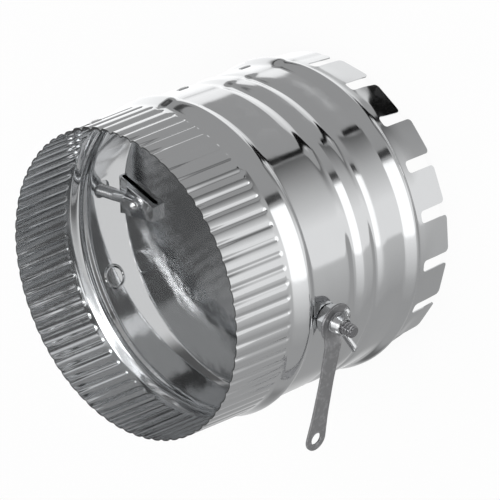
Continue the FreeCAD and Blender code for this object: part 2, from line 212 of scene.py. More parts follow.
class Field:
    """A socket whose Python operators add Math nodes."""

    def __init__(self, graph: Graph, socket: bpy.types.NodeSocket) -> None:
        """Wrap a socket of a graph."""
        self.graph = graph
        self.socket = socket

    def _math(self, operation: str, a: Number, b: Number = 0.0, c: Number = 0.0) -> "Field":
        """Add one Math node."""
        return self.graph.field("ShaderNodeMath", {"operation": operation}, {0: a, 1: b, 2: c})

    def __add__(self, other: Number) -> "Field":
        """self + other."""
        return self._math("ADD", self, other)

    def __radd__(self, other: Number) -> "Field":
        """other + self."""
        return self._math("ADD", other, self)

    def __sub__(self, other: Number) -> "Field":
        """self - other."""
        return self._math("SUBTRACT", self, other)

    def __rsub__(self, other: Number) -> "Field":
        """other - self."""
        return self._math("SUBTRACT", other, self)

    def __mul__(self, other: Number) -> "Field":
        """self * other."""
        return self._math("MULTIPLY", self, other)

    def __rmul__(self, other: Number) -> "Field":
        """other * self."""
        return self._math("MULTIPLY", other, self)

    def __truediv__(self, other: Number) -> "Field":
        """self / other."""
        return self._math("DIVIDE", self, other)

    def __rtruediv__(self, other: Number) -> "Field":
        """other / self."""
        return self._math("DIVIDE", other, self)

    def __abs__(self) -> "Field":
        """Size of the value."""
        return self._math("ABSOLUTE", self)

    def held(self, low: float, high: float) -> "Field":
        """Held between two values."""
        return self._math("MINIMUM", self._math("MAXIMUM", self, low), high)

    def wrap(self, low: float, high: float) -> "Field":
        """Carried round into a range.

        Args:
            low: lower end.
            high: upper end.

        Returns:
            The wrapped value.
        """
        return self._math("WRAP", self, high, low)

    def arctan2(self, other: "Field") -> "Field":
        """Angle of (other, self) in radians."""
        return self._math("ARCTAN2", self, other)

    def arcsin(self) -> "Field":
        """Inverse sine in radians."""
        return self._math("ARCSINE", self)

    def step(self, low: float, high: float) -> "Field":
        """Smooth rise from 0 at low to 1 at high.

        Args:
            low: where the rise starts.
            high: where the rise ends; below low it falls instead.

        Returns:
            The eased value.
        """
        return self.graph.field("ShaderNodeMapRange", {"interpolation_type": "SMOOTHSTEP"},
                                {"Value": self, "From Min": low, "From Max": high,
                                 "To Min": 0.0, "To Max": 1.0})


def linear(tone: float) -> float:
    """Linear light of a display tone between 0 and 1."""
    return tone / 12.92 if tone <= 0.04045 else ((tone + 0.055) / 1.055) ** 2.4


def tinted(colour: Colour, share: float = 1.0) -> Tone:
    """A colour times a share, with its alpha."""
    return tuple(min(1.0, c * share) for c in colour) + (1.0,)


def grey(level: float) -> Tone:
    """A grey of one level, with its alpha."""
    return tinted((level,) * 3)


def blank(name: str) -> Tuple[Material, Graph]:
    """New material with an empty node tree.

    Args:
        name: name of the material.

    Returns:
        The material and its graph.
    """
    made = bpy.data.materials.new(name)
    made.use_nodes = True
    return made, Graph(made.node_tree)


# Finishes


class Lay(Enum):
    """How the rolling lines run on a piece."""

    ROUND = "round the duct"
    FLAT = "across the blade"


@dataclass(frozen=True)
class ZincSheet:
    """Bright galvanised sheet with faint spangle, grain and rolling lines.

    Sizes and heights are in millimetres. A tone or swing is how far the colour or roughness goes up and down.
    """

    name: str
    colour: Colour = (0.83, 0.84, 0.85)
    roughness: float = 0.085
    swing: float = 0.05
    spangle: float = 7.0
    spangle_tone: float = 0.04
    spangle_swing: float = 0.04
    cloud: float = 23.0
    cloud_tone: float = 0.05
    grain: float = 0.55
    grain_height: float = 0.0035
    wave: float = 11.0
    wave_height: float = 0.035
    line_height: float = 0.002
    line_tone: float = 0.03
    round_lines: Tuple[float, float] = (1.5, 2.4)
    flat_lines: Tuple[float, float] = (2.0, 0.035)
    darkest: float = 0.82
    lightest: float = 1.1
    lay: Lay = Lay.ROUND

    def lines(self, g: Graph, mm: Field) -> Field:
        """Rolling lines, long one way and fine the other.

        Args:
            g: the material's graph.
            mm: the place in millimetres.

        Returns:
            A value between 0 and 1.
        """
        x, y, z = g.split(mm)
        if self.lay is Lay.ROUND:
            along, up = self.round_lines
            return g.noise(g.join(y.arctan2(x) * along, z * up, 0.0), 1.0, 2.0)
        across, along = self.flat_lines
        return g.noise(g.join(x * across, y * along, z * along), 1.0, 2.0)

    def material(self) -> Material:
        """Build the node material.

        Returns:
            The finished material.
        """
        made, g = blank(self.name)
        mm = g.millimetres()
        cells = g.node("ShaderNodeTexVoronoi", {"feature": "F1"},
                       {"Vector": g.scaled(mm, 1 / self.spangle), "Scale": 1.0, "Randomness": 1.0})
        facet = g.split(Field(g, cells.outputs["Color"]))[0] - 0.5
        cloud = g.noise(mm, self.cloud, 3.0) - 0.5
        lines = self.lines(g, mm)
        height = (g.noise(mm, self.grain, 2.0, 0.6) * self.grain_height
                  + g.noise(mm, self.wave, 1.0) * self.wave_height + lines * self.line_height)
        tone = facet * self.spangle_tone + cloud * self.cloud_tone + (lines - 0.5) * self.line_tone
        colour = g.mix((tone + 0.5).held(0.0, 1.0), tinted(self.colour, self.darkest),
                       tinted(self.colour, self.lightest))
        rough = self.roughness + cloud * self.swing + facet * self.spangle_swing
        g.metal(colour, 1.0, rough, height)
        return made


@dataclass(frozen=True)
class PlatedSteel:
    """Small zinc-plated hardware: fine grain, faint blotches and, with speck, dark spots. Millimetres."""

    name: str
    colour: Colour = (0.66, 0.67, 0.68)
    roughness: float = 0.2
    speck: float = 0.0
    metal: float = 0.95
    grain: float = 0.35
    grain_height: float = 0.006
    grain_tone: float = 0.25
    blotch: float = 2.6
    blotch_height: float = 0.02
    spot_edge: Tuple[float, float] = (0.60, 0.50)
    swing: float = 0.12
    darkest: float = 0.45

    def material(self) -> Material:
        """Build the node material.

        Returns:
            The finished material.
        """
        made, g = blank(self.name)
        mm = g.millimetres()
        grain = g.noise(mm, self.grain, 3.0, 0.65)
        blotch = g.noise(mm, self.blotch, 4.0, 0.7)
        spots = blotch.step(*self.spot_edge) * self.speck
        dirt = (spots + (grain - 0.5) * self.grain_tone).held(0.0, 1.0)
        rough = self.roughness + (blotch - 0.5) * self.swing + spots * self.swing
        g.metal(g.mix(dirt, tinted(self.colour), tinted(self.colour, self.darkest)), self.metal, rough,
                grain * self.grain_height + blotch * self.blotch_height)
        return made


# Mesh helpers


class Skin:
    """Collects points and faces in millimetres and turns them into one object."""

    def __init__(self) -> None:
        """Start empty."""
        self.points: List[Array] = []
        self.count = 0
        self.faces: List[Tuple[int, ...]] = []

    def add(self, points: Array) -> Array:
        """Add points.

        Args:
            points: array that ends in 3.

        Returns:
            Their numbers, in the array's shape.
        """
        flat = np.asarray(points, float).reshape(-1, 3)
        numbers = np.arange(self.count, self.count + len(flat)).reshape(np.shape(points)[:-1])
        self.points.append(flat)
        self.count += len(flat)
        return numbers

    def quads(self, ids: Array, loop: bool = False, flip: bool = False, loop_rows: bool = False) -> None:
        """Face a grid of point numbers.

        Args:
            ids: rows by columns.
            loop: join the last column to the first.
            flip: turn the faces over.
            loop_rows: join the last row to the first.
        """
        if loop:
            ids = np.concatenate([ids, ids[:, :1]], axis=1)
        if loop_rows:
            ids = np.concatenate([ids, ids[:1]], axis=0)
        a, b, c, d = ids[:-1, :-1], ids[:-1, 1:], ids[1:, 1:], ids[1:, :-1]
        order = (a, d, c, b) if flip else (a, b, c, d)
        self.faces.extend(map(tuple, np.stack([o.ravel() for o in order], axis=1).tolist()))

    def bridge(self, a: Array, b: Array, loop: bool = False, flip: bool = False) -> None:
        """Face the strip between two rows of point numbers."""
        self.quads(np.stack([a, b]), loop, flip)

    def grid(self, points: Array, loop: bool = False, flip: bool = False, loop_rows: bool = False) -> Array:
        """Add a grid of points and face it.

        Args:
            points: rows by columns by 3.
            loop: join the last column to the first.
            flip: turn the faces over.
            loop_rows: join the last row to the first.

        Returns:
            The point numbers.
        """
        ids = self.add(points)
        self.quads(ids, loop, flip, loop_rows)
        return ids

    def revolve(self, profile: Pairs, turns: Array, loop: bool = False, flip: bool = False,
                closed: bool = False) -> None:
        """Add a surface of revolution about the pin line.

        Args:
            profile: pairs of x and radius.
            turns: angles of its columns in radians.
            loop: join the last column to the first.
            flip: turn the faces over.
            closed: join the last profile point to the first.
        """
        x, r = as_columns(profile)
        self.grid(about_x(r, turns, x), loop, flip, closed)

    def cap(self, ring: Sequence[int], flip: bool = False) -> None:
        """Close a ring with one face."""
        ring = list(map(int, ring))
        self.faces.append(tuple(reversed(ring)) if flip else tuple(ring))

    def turned(self, matrix: Matrix) -> "Skin":
        """Copy moved by a matrix in millimetres.

        Args:
            matrix: the movement.

        Returns:
            The new skin.
        """
        other = Skin()
        m = np.array(matrix)
        flat = np.concatenate(self.points)
        other.points = [flat @ m[:3, :3].T + m[:3, 3]]
        other.count = self.count
        other.faces = list(self.faces)
        return other

    def piece(self, name: str, material: Material, sharp: float = 40.0) -> Object:
        """Make the object.

        Args:
            name: object name.
            material: its finish.
            sharp: edges steeper than this many degrees stay crisp.

        Returns:
            The new object, linked to the scene.
        """
        mesh = bpy.data.meshes.new(name)
        mesh.from_pydata((np.concatenate(self.points) * MM).tolist(), [], self.faces)
        mesh.validate()
        mesh.update()
        return dress(name, mesh, material, sharp)


def dress(name: str, mesh: bpy.types.Mesh, material: Material, sharp: float) -> Object:
    """Make an object of a mesh with smooth faces and crisp edges.

    Args:
        name: object name.
        mesh: its mesh.
        material: its finish.
        sharp: edges steeper than this many degrees stay crisp.

    Returns:
        The new object.
    """
    mesh.materials.clear()
    mesh.materials.append(material)
    mesh.polygons.foreach_set("use_smooth", [True] * len(mesh.polygons))
    mesh.set_sharp_from_angle(angle=math.radians(sharp))
    made = bpy.data.objects.new(name, mesh)
    bpy.context.scene.collection.objects.link(made)
    return made


def merge(name: str, parts: Sequence[Object]) -> Object:
    """Join several objects into the first one.

    Args:
        name: name of the joined object.
        parts: objects to join.

    Returns:
        The joined object.
    """
    bpy.ops.object.select_all(action="DESELECT")
    for part in parts:
        part.select_set(True)
    bpy.context.view_layer.objects.active = parts[0]
    bpy.ops.object.join()
    parts[0].name = name
    return parts[0]


def spread(x: Array, y: Array, z: Array) -> Array:
    """Points of three coordinates that are brought to one shape."""
    return np.stack(np.broadcast_arrays(x, y, z), axis=-1)


def on_wall(radius: Array, degrees: Array, height: Array) -> Array:
    """Points at a radius and angle about the duct axis, in millimetres."""
    a = np.radians(degrees)
    return spread(radius * np.cos(a), radius * np.sin(a), height)


def about_x(radius: Array, turn: Array, x: Array) -> Array:
    """Points at a radius and an angle in radians about the pin line."""
    return spread(x, radius * np.cos(turn), radius * np.sin(turn))


def ease(x: Array) -> Array:
    """Smooth rise from 0 at x = 0 to 1 at x = 1."""
    t = np.clip(x, 0.0, 1.0)
    return t * t * (3.0 - 2.0 * t)


def mound(away: Array, flat: float, soft: float) -> Array:
    """1 up to a distance and 0 beyond it, with a soft edge."""
    return 1.0 - ease((away - flat) / soft)


def outside(x: Array, half: float) -> Array:
    """How far a value lies beyond half to either side."""
    return np.maximum(np.abs(x) - half, 0)


def as_columns(pairs: Pairs) -> Tuple[Array, Array]:
    """First and second numbers of the pairs, each as a column."""
    both = np.array(pairs, float)
    return both[:, :1], both[:, 1:]


def around(count: int) -> Array:
    """Even angles round a full turn, in radians."""
    return np.linspace(0.0, 2 * math.pi, count, endpoint=False)


def arc(middle: Tuple[float, float], radius: float, start: float, end: float,
        count: int) -> List[Tuple[float, float]]:
    """Points of an arc.

    Args:
        middle: its centre.
        radius: its radius.
        start: first angle in degrees.
        end: last angle in degrees.
        count: number of points.

    Returns:
        The points, both ends with them.
    """
    return [(middle[0] + radius * math.cos(a), middle[1] + radius * math.sin(a))
            for a in np.radians(np.linspace(start, end, count))]


def plate(name: str, outline: Array, holes: Sequence[Array], thick: float, bevel: float,
          material: Material, matrix: Matrix) -> Object:
    """Flat plate with soft edges, drawn in its own plane and then moved.

    Args:
        name: object name.
        outline: outer loop of points, two numbers each, in millimetres.
        holes: inner loops.
        thick: thickness.
        bevel: radius of the soft edge.
        material: its finish.
        matrix: movement in millimetres, from the drawing plane at mid thickness.

    Returns:
        The new object.
    """
    curve = bpy.data.curves.new(name, "CURVE")
    curve.dimensions = "2D"
    curve.fill_mode = "BOTH"
    curve.extrude = (thick / 2 - bevel) * MM
    curve.bevel_depth = bevel * MM
    curve.bevel_resolution = 2
    curve.offset = -bevel * MM
    for loop in [outline] + list(holes):
        spline = curve.splines.new("POLY")
        spline.points.add(len(loop) - 1)
        spline.use_cyclic_u = True
        for point, (u, v) in zip(spline.points, loop):
            point.co = (u * MM, v * MM, 0.0, 1.0)
    holder = bpy.data.objects.new(name + "_drawing", curve)
    bpy.context.scene.collection.objects.link(holder)
    mesh = bpy.data.meshes.new_from_object(holder.evaluated_get(bpy.context.evaluated_depsgraph_get()))
    bpy.data.objects.remove(holder)
    bpy.data.curves.remove(curve)
    moved = matrix.copy()
    moved.translation = moved.translation * MM
    mesh.transform(moved)
    return dress(name, mesh, material, 35.0)


def circle(radius: float, count: int = 48, centre: Tuple[float, float] = (0.0, 0.0)) -> Array:
    """Points of a circle in a drawing plane."""
    a = around(count)
    return np.stack([centre[0] + radius * np.cos(a), centre[1] + radius * np.sin(a)], axis=1)


# The round sheet body


@dataclass
class Collar:
    """The rolled sheet: crimps, stop bead, grooves, flange bead, tabs and lap seam, in millimetres."""

    body_r: float = 76.2
    sheet: float = 0.6
    length: float = 139.7
    rim_r: float = 74.7
    neck_r: float = 75.9
    neck_z: float = 104.9
    softness: float = 0.42
    crimps: int = 70
    crimp_phase: float = 2.8
    crimp_depth: float = 0.58
    crimp_end: float = 108.2
    crimp_marks: Tuple[float, ...] = (-1.8, -1.4, -0.95, -0.5, 0.0, 0.5, 0.95, 1.4, 1.8, 2.6, 3.4, 4.2)
    crimp_shares: Pairs = (
        (-180.0, 0.5), (-42.0, 0.5), (-10.0, 0.5), (28.0, 0.6), (36.0, 0.5), (42.0, 0.8), (56.0, 0.85),
        (62.0, 0.32), (77.0, 0.32), (84.0, 0.95), (112.0, 1.0), (130.0, 0.5), (180.0, 0.5))
    rim_extra: float = 0.8
    rim_run: Tuple[float, float] = (11.0, 10.0)
    groove_half: float = 1.75
    groove_floor: float = 0.05
    land_half: float = 3.39
    land_rise: float = 0.10
    seam_edge: float = 121.5
    seam_start: float = 105.5
    seam_fade: float = 4.0
    seam_step: float = 0.05
    seam_clear: float = 0.2
    tabs: int = 19
    tab_pitch: float = 18.5
    tab_columns: int = 21
    slot_columns: int = 3
    first_slot: float = 94.9
    slot_half: float = 3.0
    tab_root: float = 17.4
    root_r: float = 1.9
    corner_r: float = 2.2
    tab_lean: float = 3.3
    tab_flat: float = 0.85
    tab_sink: float = 0.22
    lean_run: float = 5.0
    flat_run: float = 8.0
    shaft_z: float = 84.0
    pin_hole_r: float = 3.235
    tail_hole_r: float = 4.9
    tail_rise: float = 1.165
    window_z: Tuple[float, float] = (91.0, 77.0)
    window_half: int = 7
    clinch_angle: float = 116.0
    clinch_heights: Tuple[float, ...] = (130.5, 75.5, 34.5)
    clinch_rise: float = 0.62
    clinch_sink: float = 0.12
    clinch_patch: Tuple[float, float] = (3.9, 2.1)
    clinch_flat: Tuple[float, float] = (2.6, 0.75)
    clinch_soft: Tuple[float, float] = (0.25, 0.75)
    nick_half: float = 1.7
    nick_depth: float = 0.75
    nick_soft: Tuple[float, float] = (0.15, 0.45)
    ring_angle: float = 214.0
    ring_r: float = 5.6
    ring_w: float = 0.7
    ring_rise: float = 0.85
    ring_patch: float = 7.2
    dome_rise: float = 0.16
    dome_r: float = 1.2
    dome_w: float = 1.6
    ring_sink: float = 0.1
    columns: int = 420
    crimp_blend: Tuple[float, float] = (97.0, 5.0)
    slot_blend: Tuple[float, float] = (60.0, 40.0)
    lean_each: Dict[int, float] = field(default_factory=dict)
    twist_each: Dict[int, float] = field(default_factory=dict)

    def radius(self, heights: Array) -> Array:
        """Outside radius of the wall, with soft bends.

        Args:
            heights: heights above the tab ends.

        Returns:
            The radius at each height.
        """
        neck, rim = self.neck_r - self.body_r, self.rim_r - self.body_r
        knots = [(-5.0, 0.0), (21.0, 0.0), (22.4, 1.44), (23.4, 2.12), (24.7, 2.4), (26.1, 2.12),
                 (27.5, 1.44), (30.4, 0.0), (46.6, 0.0), (48.3, -0.54), (49.8, -0.9), (51.2, -0.54),
                 (53.0, 0.0), (59.0, 0.0), (61.8, -0.78), (64.1, -1.25), (66.3, -0.7), (69.0, 0.0),
                 (92.4, 0.0), (94.2, 1.05), (95.2, 1.62), (96.5, 1.9), (97.8, 1.72), (99.3, 1.33),
                 (self.neck_z, neck), (self.length, rim), (150.0, rim)]
        step, reach = 0.05, 40
        z = np.arange(-4.0, 148.0, step)
        sharp = self.body_r + np.interp(z, *zip(*knots))
        kernel = np.exp(-0.5 * (np.arange(-reach, reach + 1) * step / self.softness) ** 2)
        soft = np.convolve(np.pad(sharp, reach, mode="edge"), kernel / kernel.sum(), mode="valid")
        return np.interp(heights, z, soft)

    def fine_angles(self) -> Array:
        """Column angles round the crimped end, as many to each crimp as it has marks.

        Returns:
            The angles in degrees, from the seam edge on.
        """
        pitch = 360.0 / self.crimps
        first = math.floor((self.seam_edge - self.crimp_phase) / pitch)
        angles = [self.crimp_phase + i * pitch + math.degrees(mark / self.body_r)
                  for i in range(first, first + self.crimps + 1) for mark in self.crimp_marks]
        angles = np.array([a for a in angles if a > self.seam_edge - self.seam_clear][: 2 * self.columns])
        angles[:2] = self.seam_edge - self.seam_step, self.seam_edge + self.seam_step
        return angles

    def body_angles(self) -> Array:
        """Even column angles round the body, the first two at the seam edge."""
        low, high = self.seam_edge - self.seam_step, self.seam_edge + self.seam_step
        return np.concatenate([[low], np.linspace(high, low + 360.0, self.columns)[:-1]])

    def tab_plan(self) -> List[Tuple[int, int, float, float]]:
        """Columns of each tab.

        Returns:
            First column, last column, lower slot angle and upper slot angle for each tab.
        """
        plan = []
        for i in range(self.tabs - 1):
            low = self.first_slot - self.tab_pitch * (self.tabs - 1 - i) + 360.0
            start = self.tab_columns * i
            plan.append((start + self.slot_columns, start + self.tab_columns, low, low + self.tab_pitch))
        low = self.first_slot + 360.0
        rest = 360.0 - self.tab_pitch * (self.tabs - 1)
        plan.append((self.tab_columns * (self.tabs - 1) + self.slot_columns, self.columns, low, low + rest))
        return plan

    def root_angles(self) -> Array:
        """Column angles in the ring just above the slots.

        Returns:
            The angles in degrees.
        """
        flat = math.degrees((self.slot_half - self.root_r) / self.body_r)
        angles = np.zeros(self.columns + 1)
        for first, last, low, high in self.tab_plan():
            slot = self.slot_columns
            angles[first - slot:first + 1] = np.linspace(low - flat, low + flat, slot + 1)
            angles[first:last + 1] = np.linspace(low + flat, high - flat, last - first + 1)
        return angles[:-1]

    def lap(self, angles: Array) -> Array:
        """Rise of the outer layer at the seam, as a share of the sheet."""
        beyond = np.mod(angles, 360.0) - self.seam_start + self.seam_fade
        end = self.seam_edge - self.seam_start + self.seam_fade
        return np.where((beyond > 0.0) & (beyond < end), ease(beyond / self.seam_fade), 0.0)

    def crimp(self, angles: Array, heights: Array) -> Array:
        """Depth of the crimps.

        Args:
            angles: angles round the duct in degrees.
            heights: heights above the tab ends.

        Returns:
            How far the wall lies in.
        """
        pitch = 360.0 / self.crimps
        off = np.mod(angles - self.crimp_phase + pitch / 2, pitch) - pitch / 2
        across = np.radians(off) * self.body_r
        beyond = np.maximum(0.0, self.crimp_end - heights)
        reach = np.sqrt(across ** 2 + beyond ** 2)
        groove = mound(reach, self.groove_floor, self.groove_half - self.groove_floor)
        land = np.cos(np.clip(np.abs(across) / self.land_half, 0, 1) * math.pi) * (heights > self.crimp_end)
        share = np.interp(np.mod(angles + 180.0, 360.0) - 180.0, *zip(*self.crimp_shares))
        start, run = self.rim_run
        deeper = 1.0 + self.rim_extra * ease((heights - self.length + start) / run)
        return self.crimp_depth * share * deeper * groove + self.land_rise * land

    def wobble(self, angles: Array, heights: Array) -> Array:
        """Slow unevenness of the rolled sheet, a few hundredths of a millimetre."""
        a = np.radians(angles)
        return (0.05 * np.sin(3 * a + 0.4) * np.sin(heights / 37.0)
                + 0.03 * np.sin(7 * a + 1.3 + heights / 60.0) + 0.012 * np.sin(19 * a + heights / 9.0))

    def heights(self) -> Tuple[Array, Array]:
        """Row heights, close where the wall bends.

        Returns:
            Those of the crimped end and those of the body, both from the top down.
        """
        fine = [139.7, 139.35, 138.2, 135.5, 131.5, 127.0, 122.0, 117.5, 113.5, 111.0, 109.6, 108.9, 108.3,
                107.8, 107.3, 106.9, 106.5, 106.0, 105.3, 104.4]
        body = [103.4, 102.2, 100.9, 99.8, 99.0, 98.2, 97.4, 96.6, 95.8, 95.1, 94.4, 93.7, 93.0, 92.4, 91.8,
                91.0, 88.2, 85.4, 82.6, 79.8, 77.0, 74.0, 71.4, 70.5, 69.5, 68.4, 67.4, 66.3, 65.2, 64.1,
                63.0, 62.0, 60.9, 59.9, 59.0, 56.5, 54.6, 53.7, 52.8, 51.8, 50.8, 49.8, 48.8, 47.9, 47.0,
                42.0, 37.0, 32.0, 30.6, 29.6, 28.6, 27.6, 26.6, 25.6, 24.6, 23.7, 22.9, 22.2, 21.5, 20.9,
                20.2, 19.2, 17.4]
        return np.array(fine), np.array(body)

    def patch(self, skin: Skin, ids: Array, rows: Tuple[int, int], middle: int, radius: float, angle: float,
              hole_r: float, flip: bool) -> Array:
        """Fill a window of the wall round a pin hole.

        Args:
            skin: where points and faces go.
            ids: point numbers of the wall grid.
            rows: first and last row of the window.
            middle: its middle column.
            radius: wall radius.
            angle: angle of the hole's centre.
            hole_r: radius of the hole.
            flip: turn the faces over.

        Returns:
            Point numbers round the hole.
        """
        r0, r1 = rows
        c0, c1 = middle - self.window_half, middle + self.window_half
        edge = np.concatenate([ids[r0, c0:c1], ids[r0:r1, c1], ids[r1, c1:c0:-1], ids[r1:r0:-1, c0]])
        flat = np.concatenate(skin.points)[edge]
        u = np.radians(np.mod(np.degrees(np.arctan2(flat[:, 1], flat[:, 0])) - angle + 180.0, 360.0) - 180.0)
        u = u * radius
        v = flat[:, 2] - self.shaft_z
        turn = np.arctan2(v, u)
        rings = [edge]
        for t in (0.4, 0.7, 0.88, 1.0):
            uu = u * (1 - t) + hole_r * np.cos(turn) * t
            vv = v * (1 - t) + hole_r * np.sin(turn) * t
            rings.append(skin.add(on_wall(radius, angle + np.degrees(uu / radius), vv + self.shaft_z)))
        skin.quads(np.stack(rings), loop=True, flip=flip)
        return rings[-1]

    def side(self, skin: Skin, outside_face: bool) -> Tuple[Array, Array, List[Array]]:
        """One face of the sheet, from the rim down to the slots.

        Args:
            skin: where points and faces go.
            outside_face: the outer face and not the inner one.

        Returns:
            Point numbers of the rim, of the lowest row and round each hole.
        """
        inset, rise = (0.0, self.sheet) if outside_face else (self.sheet, 0.0)
        fine_z, body_z = self.heights()
        fine_a, body_a, root_a = self.fine_angles(), self.body_angles(), self.root_angles()
        a, z = fine_a[None, :], fine_z[:, None]
        r = self.radius(z) - inset - self.crimp(a, z) + rise * self.lap(a) + self.wobble(a, z)
        top = skin.grid(on_wall(r, a, z), loop=True, flip=outside_face)
        z = body_z[:, None]
        mix = ease((z - self.crimp_blend[0]) / self.crimp_blend[1])
        low = ease((self.slot_blend[0] - z) / self.slot_blend[1])
        a = body_a[None, :] * (1 - mix) + fine_a[None, ::2] * mix
        a = a * (1 - low) + root_a[None, :] * low
        a[-4:] = root_a
        lap = self.lap(a)
        lap[:, :2] = 1.0, 0.0
        body = skin.add(on_wall(self.radius(z) - inset + rise * lap + self.wobble(a, z), a, z))
        even = top[-1, 0::2]
        for face in zip(even, top[-1, 1::2], np.roll(even, -1), np.roll(body[0], -1), body[0]):
            skin.cap(face, flip=outside_face)

        loop = np.concatenate([body, body[:, :1]], axis=1)
        first, last = (int(np.argmin(np.abs(body_z - height))) for height in self.window_z)
        skin.quads(loop[:first + 1], flip=outside_face)
        skin.quads(loop[last:], flip=outside_face)
        windows = []
        for angle, hole_r in ((360.0, self.pin_hole_r),
                              (180.0 - math.degrees(self.tail_rise / self.body_r), self.tail_hole_r)):
            windows.append((int(np.argmin(np.abs(body_a - angle))), angle, hole_r))
        at = 0
        for middle, _, _ in sorted(windows):
            skin.quads(loop[first:last + 1, at:middle - self.window_half + 1], flip=outside_face)
            at = middle + self.window_half
        skin.quads(loop[first:last + 1, at:], flip=outside_face)
        radius = self.body_r - inset
        holes = [self.patch(skin, loop, (first, last), middle, radius, angle, hole_r, outside_face)
                 for middle, angle, hole_r in windows]
        return top[0], loop[-1], holes

    def wall(self) -> Skin:
        """The whole sheet as one skin.

        Returns:
            The skin of both faces and every cut edge.
        """
        skin = Skin()
        outer_rim, outer_root, outer_holes = self.side(skin, True)
        inner_rim, inner_root, inner_holes = self.side(skin, False)
        skin.bridge(inner_rim, outer_rim, loop=True)
        for a, b in zip(outer_holes, inner_holes):
            skin.bridge(a, b, loop=True)
        for number, plan in enumerate(self.tab_plan()):
            self.add_tab(skin, number, plan, outer_root, inner_root)
        return skin

    def tab_rows(self) -> Array:
        """Row heights down a tab.

        Returns:
            The heights, close at the slot's round root and at the tab's corners.
        """
        r = self.root_r
        top = [self.tab_root - r + r * math.cos(math.radians(a)) for a in (22, 42, 60, 76, 90)]
        low = [self.corner_r * (1 - math.cos(math.radians(a))) for a in (90, 74, 58, 42, 27, 12, 0)]
        return np.array(top + [12.5, 9.5, 6.5, 4.2] + low)

    def slot_side(self, z: Array) -> Array:
        """Half width of a slot.

        Args:
            z: heights above the tab ends.

        Returns:
            The half width at each height.
        """
        r, c, root = self.root_r, self.corner_r, self.tab_root
        up = np.clip(z - (root - r), 0.0, r)
        down = np.clip(c - z, 0.0, c)
        root_side = self.slot_half - r + np.sqrt(r * r - up * up)
        return root_side + (c - np.sqrt(np.maximum(c * c - down * down, 0)))

    def add_tab(self, skin: Skin, number: int, plan: Tuple[int, int, float, float], outer: Array,
                inner: Array) -> None:
        """Add a tab below the ring and the flat root of the slot before it.

        Args:
            skin: where points and faces go.
            number: number of the tab, the last one at the seam.
            plan: its columns and slot angles.
            outer: point numbers of the outside ring.
            inner: point numbers of the inside ring.
        """
        first, last, low, high = plan
        root = slice(first - self.slot_columns, first + 1)
        skin.bridge(outer[root], inner[root])
        rows = self.tab_rows()[:, None]
        centre = (low + high) / 2
        u = np.linspace(-1.0, 1.0, last - first + 1)[None, :]
        half = math.radians(high - low) / 2 * self.body_r - self.slot_side(rows)
        a = centre + np.degrees(half * u / self.body_r)
        drop = self.tab_root - rows
        lean = np.radians(self.tab_lean + self.lean_each.get(number, 0.0))
        shift = -np.tan(lean) * drop * ease(drop / self.lean_run)
        off = np.radians(a - centre)
        chord = self.body_r * (1.0 / np.cos(off) - 1.0) - self.tab_sink
        twist = math.tan(math.radians(self.twist_each.get(number, 0.0)))
        flat = (self.tab_flat if number < self.tabs - 1 else 0.0) * ease(drop / self.flat_run)
        faces = []
        for inset, rise, ring, flip in ((0.0, self.sheet, outer, False), (self.sheet, 0.0, inner, True)):
            r = self.body_r + shift + flat * (chord + twist * self.body_r * off) - inset
            r = r + self.wobble(a, rows) + rise * self.lap(a)
            faces.append(np.concatenate([ring[None, first:last + 1], skin.add(on_wall(r, a, rows))]))
            skin.quads(faces[-1], flip=not flip)
        out, inn = faces
        skin.bridge(out[:, 0], inn[:, 0], flip=True)
        skin.bridge(out[:, -1], inn[:, -1])
        skin.bridge(out[-1], inn[-1])

    def button(self, height: float) -> Skin:
        """Clinched button of the seam at one height.

        Args:
            height: its middle, above the tab ends.

        Returns:
            The skin.
        """
        high, wide = self.clinch_patch
        z = np.linspace(-high, high, 40)[:, None]
        y = np.linspace(-wide, wide, 26)[None, :]
        flat_z, flat_y = self.clinch_flat
        edge = np.sqrt(outside(z, flat_z) ** 2 + outside(y, flat_y) ** 2)
        nick = np.sqrt(outside(z, self.nick_half) ** 2 + y ** 2)
        rise = self.clinch_rise * mound(edge, *self.clinch_soft)
        rise = rise - self.nick_depth * mound(nick, *self.nick_soft)
        base = self.radius(height) + self.sheet - self.clinch_sink
        angle = self.clinch_angle + np.degrees(y / self.body_r)
        skin = Skin()
        skin.grid(on_wall(base + rise, angle, height + z), flip=True)
        return skin

    def wall_ring(self) -> Skin:
        """Plain round pressing that shows on the inside of the wall.

        Returns:
            The skin.
        """
        t = around(64)[None, :]
        s = np.linspace(0.02, self.ring_patch, 44)[:, None]
        ring = self.ring_rise * np.exp(-((s - self.ring_r) / self.ring_w) ** 2)
        dome = self.dome_rise * np.exp(-((s - self.dome_r) / self.dome_w) ** 2)
        rise = ring - self.ring_sink + dome
        angle = self.ring_angle + np.degrees(s * np.cos(t) / self.body_r)
        skin = Skin()
        skin.grid(on_wall(self.body_r - self.sheet - rise, angle, self.shaft_z + s * np.sin(t)), loop=True)
        return skin

    def build(self, sheet: Material) -> List[Object]:
        """Make the body and its pressings.

        Args:
            sheet: galvanised finish.

        Returns:
            The new objects.
        """
        wall = self.wall().piece("collar_sheet", sheet, 48.0)
        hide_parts("collar_sleeve")
        made = [wall, self.wall_ring().piece("wall_ring", sheet, 60.0)]
        for i, height in enumerate(self.clinch_heights):
            made.append(self.button(height).piece("seam_button_%d" % (i + 1), sheet, 60.0))
        for piece in made:
            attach(piece, "sleeve")
        return made


# Blade, clips and pins


